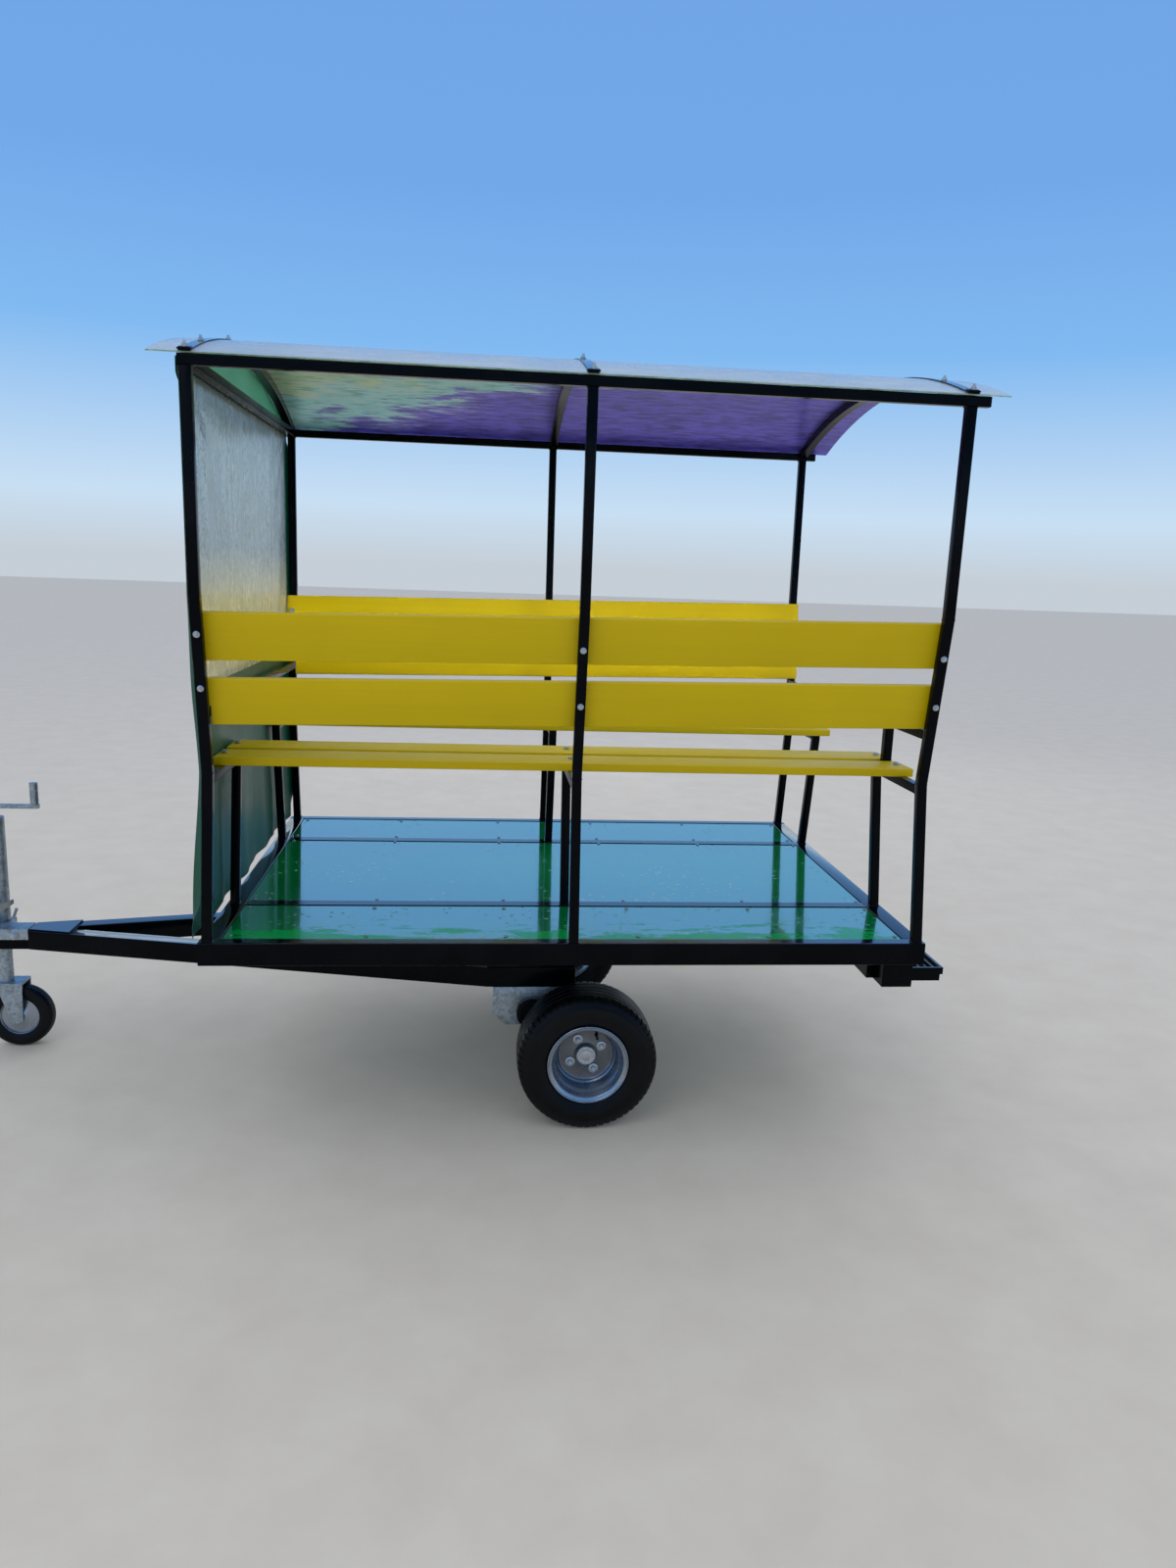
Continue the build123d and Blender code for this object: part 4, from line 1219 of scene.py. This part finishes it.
for plane, normal in (((0, window_half, 0), (0, 1, 0)), ((0, -window_half, 0), (0, 1, 0)),
                      ((0, 0, window_low), (0, 0, 1)), ((0, 0, window_high), (0, 0, 1))):
    bpy.ops.mesh.select_all(action="SELECT")
    bpy.ops.mesh.bisect(plane_co=plane, plane_no=normal)
leave()
pick_faces(tarp, lambda face: abs(face.center.y) < window_half and window_low < face.center.z < window_high)
bpy.ops.mesh.delete(type="FACE")
leave()
for vertex in tarp.data.vertices:
    _, y, z = vertex.co
    pulled = hug(y, z)
    vertex.co.x += fold_depth(y, z) * (1 - pulled / lacing_pull) - pulled
if sum(face.normal.x for face in tarp.data.polygons) < 0:
    tarp.data.flip_normals()
with_modifier(tarp, "SOLIDIFY", thickness=0.0011, offset=1.0)
smooth(tarp, 50)
dress(tarp, "trailer", tarp_coated)
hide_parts("front_tarp")

# %% [markdown]
# ## The clear window
# The clear sheet is welded to the back of the tarpaulin round the opening. It pulls from its two top
# corners, more from the left one, which throws fans of shallow wrinkles across it, and a few soft waves run
# over the rest. It is a grid too, with the wrinkles moved into its points.

# %% Window
weld_strip = 0.015
pane_half, pane_low, pane_high = window_half + weld_strip, window_low - weld_strip, window_high + weld_strip
pane_back, wrinkle_depth = 0.5170, 0.0022


def wrinkle_fan(y, z, corner, count, phase, reach):
    """Waves that spread from a top corner of the pane and die out over a reach."""
    across, down = abs(corner - y), pane_high - z
    return math.sin(count * math.atan2(down, across) + phase) * math.exp(-math.hypot(down, across) / reach)


pane = start("clear_window", bpy.ops.mesh.primitive_grid_add, x_subdivisions=150, y_subdivisions=90, size=2)
for vertex in pane.data.vertices:
    u, v = vertex.co.x, vertex.co.y
    y, z = u * pane_half, (pane_low + pane_high) / 2 + v * (pane_high - pane_low) / 2
    inside = min(fade(abs(u), 1.0, 0.80), fade(abs(v), 1.0, 0.76))
    fan = wrinkle_fan(y, z, pane_half, count=15, phase=0.4, reach=0.55)
    far_fan = wrinkle_fan(y, z, -pane_half, count=13, phase=1.0, reach=0.4)
    waves = 0.35 * math.sin(19 * y + 1.5 * math.sin(6 * z))
    vertex.co = (pane_back + inside * wrinkle_depth * (fan + 0.7 * far_fan + waves), y, z)
if sum(face.normal.x for face in pane.data.polygons) < 0:
    pane.data.flip_normals()
with_modifier(pane, "SOLIDIFY", thickness=0.0006, offset=-1.0)
smooth(pane, 60)
dress(pane, "trailer", clear_sheet)
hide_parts("front_window")

# %% [markdown]
# ## Axle and coupling details
# Under the deck the axle has a ribbed rubber boot at each end, and two bolts go through each bracket. The
# coupling is held by two cross bolts. The boots are spun from an outline, and the bolts are copies of the
# big nut. They could be left out, but the trailer is also seen from below.

# %% Boots and bracket bolts
boot_outline = [(0.3722, 0.0), (0.3722, 0.0450), (0.3732, 0.0458), (0.3742, 0.0450), (0.3742, 0.0385),
                (0.3760, 0.0375), (0.3760, 0.0320), (0.3742, 0.0312), (0.3742, 0.0255), (0.3760, 0.0247),
                (0.3760, 0.0120), (0.3750, 0.0108), (0.3750, 0.0)]
beam_x, beam_z = wheel_x + 0.150, 0.280
for side, sign in (("left", 1), ("right", -1)):
    outline = [(sign * y, r) for y, r in boot_outline]
    boot = spun("axle_boot_" + side, outline, (beam_x, 0, beam_z), steps=48, closed=False)
    smooth(boot, 30)
    dress(boot, "trailer", tyre_rubber)
bracket_half, bracket_face = 0.322, 0.348
bracket_rows = (wheel_x + 0.082, wheel_x + 0.228)
bracket_bolts = [((x, sign * bracket_half, bracket_face), (0, 0, -1))
                 for x in bracket_rows for sign in (1, -1)]
copies(big_nut, "bracket_nuts", bracket_bolts, "trailer", plated)
coupling_half, coupling_bolt_z = 0.034, 0.397
coupling_rows = (1.232, 1.290)
cross_bolts = [((x, sign * coupling_half, coupling_bolt_z), (0, sign, 0))
               for x in coupling_rows for sign in (1, -1)]
copies(big_nut, "coupling_nuts", cross_bolts, "trailer", plated)

# %% [markdown]
# ## The jockey wheel
# The jockey wheel has a rounded rubber tyre on a pressed disc. Both come from one spun outline, and the
# faces near the axle then take the silver paint. Its place is read from the solid's box.

# %% Jockey wheel
jockey_low, jockey_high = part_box("jockey_wheel")
jockey_centre = (jockey_low + jockey_high) / 2
jockey_outline = [
    (0.0250, 0.0075), (0.0250, 0.0150), (0.0200, 0.0165), (0.0120, 0.0300), (0.0120, 0.0560),
    (0.0190, 0.0600), (0.0220, 0.0650), (0.0240, 0.0720), (0.0250, 0.0820), (0.0235, 0.0910),
    (0.0190, 0.0968), (0.0110, 0.0996), (0.0040, 0.1000), (0.0030, 0.0990),
]
outline = jockey_outline + [(-y, r) for y, r in reversed(jockey_outline)]
roller = spun("jockey_roller_tyre", outline, jockey_centre, steps=64)
smooth(roller, 35)
dress(roller, "jockey_roller", tyre_rubber)
roller.data.materials.append(wheel_silver)
disc_radius = 0.058


def on_jockey_disc(face):
    return math.hypot(face.center.x - jockey_centre.x, face.center.z - jockey_centre.z) < disc_radius


pick_faces(roller, on_jockey_disc)
roller.active_material_index = 1
bpy.ops.object.material_slot_assign()
leave()
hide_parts("jockey_wheel")

# %% [markdown]
# ## The clamp's screw
# The clamp of the jockey wheel is tightened by a screw with a small cross handle. Screw and handle are spun
# shapes. The handle is made on the origin and then turned and moved to the screw's head, and its place goes
# into its mesh.

# %% Clamp screw
clamp_low, clamp_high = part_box("jockey_clamp")
bar_outline = [(0.0, 0.0), (0.0, 0.0060), (0.0300, 0.0060), (0.0310, 0.0095), (0.0440, 0.0095),
               (0.0450, 0.0070), (0.0450, 0.0)]
screw_place = ((clamp_low.x + clamp_high.x) / 2, clamp_low.y, (clamp_low.z + clamp_high.z) / 2)
t_bar = spun("clamp_screw", [(-y, r) for y, r in bar_outline], screw_place, steps=24, closed=False)
smooth(t_bar, 35)
dress(t_bar, "trailer", plated)
handle_outline = [(-0.0450, 0.0), (-0.0450, 0.0040), (-0.0435, 0.0052), (0.0435, 0.0052), (0.0450, 0.0040),
                  (0.0450, 0.0)]
head_middle = 0.0375
handle_place = Vector(screw_place) + Vector((0, -head_middle, 0))
handle = spun("clamp_handle", handle_outline, (0, 0, 0), steps=20, closed=False)
upright, tilted = Matrix.Rotation(math.radians(90), 4, "X"), Matrix.Rotation(math.radians(20), 4, "Z")
handle.matrix_world = Matrix.Translation(handle_place) @ upright @ tilted
settle(handle)
smooth(handle, 35)
dress(handle, "trailer", plated)

# %% [markdown]
# ## The last step
# The models of nuts, heads, beads and clips were only patterns, so they are taken away.

# %% Finish
for pattern in patterns:
    bpy.data.objects.remove(pattern)
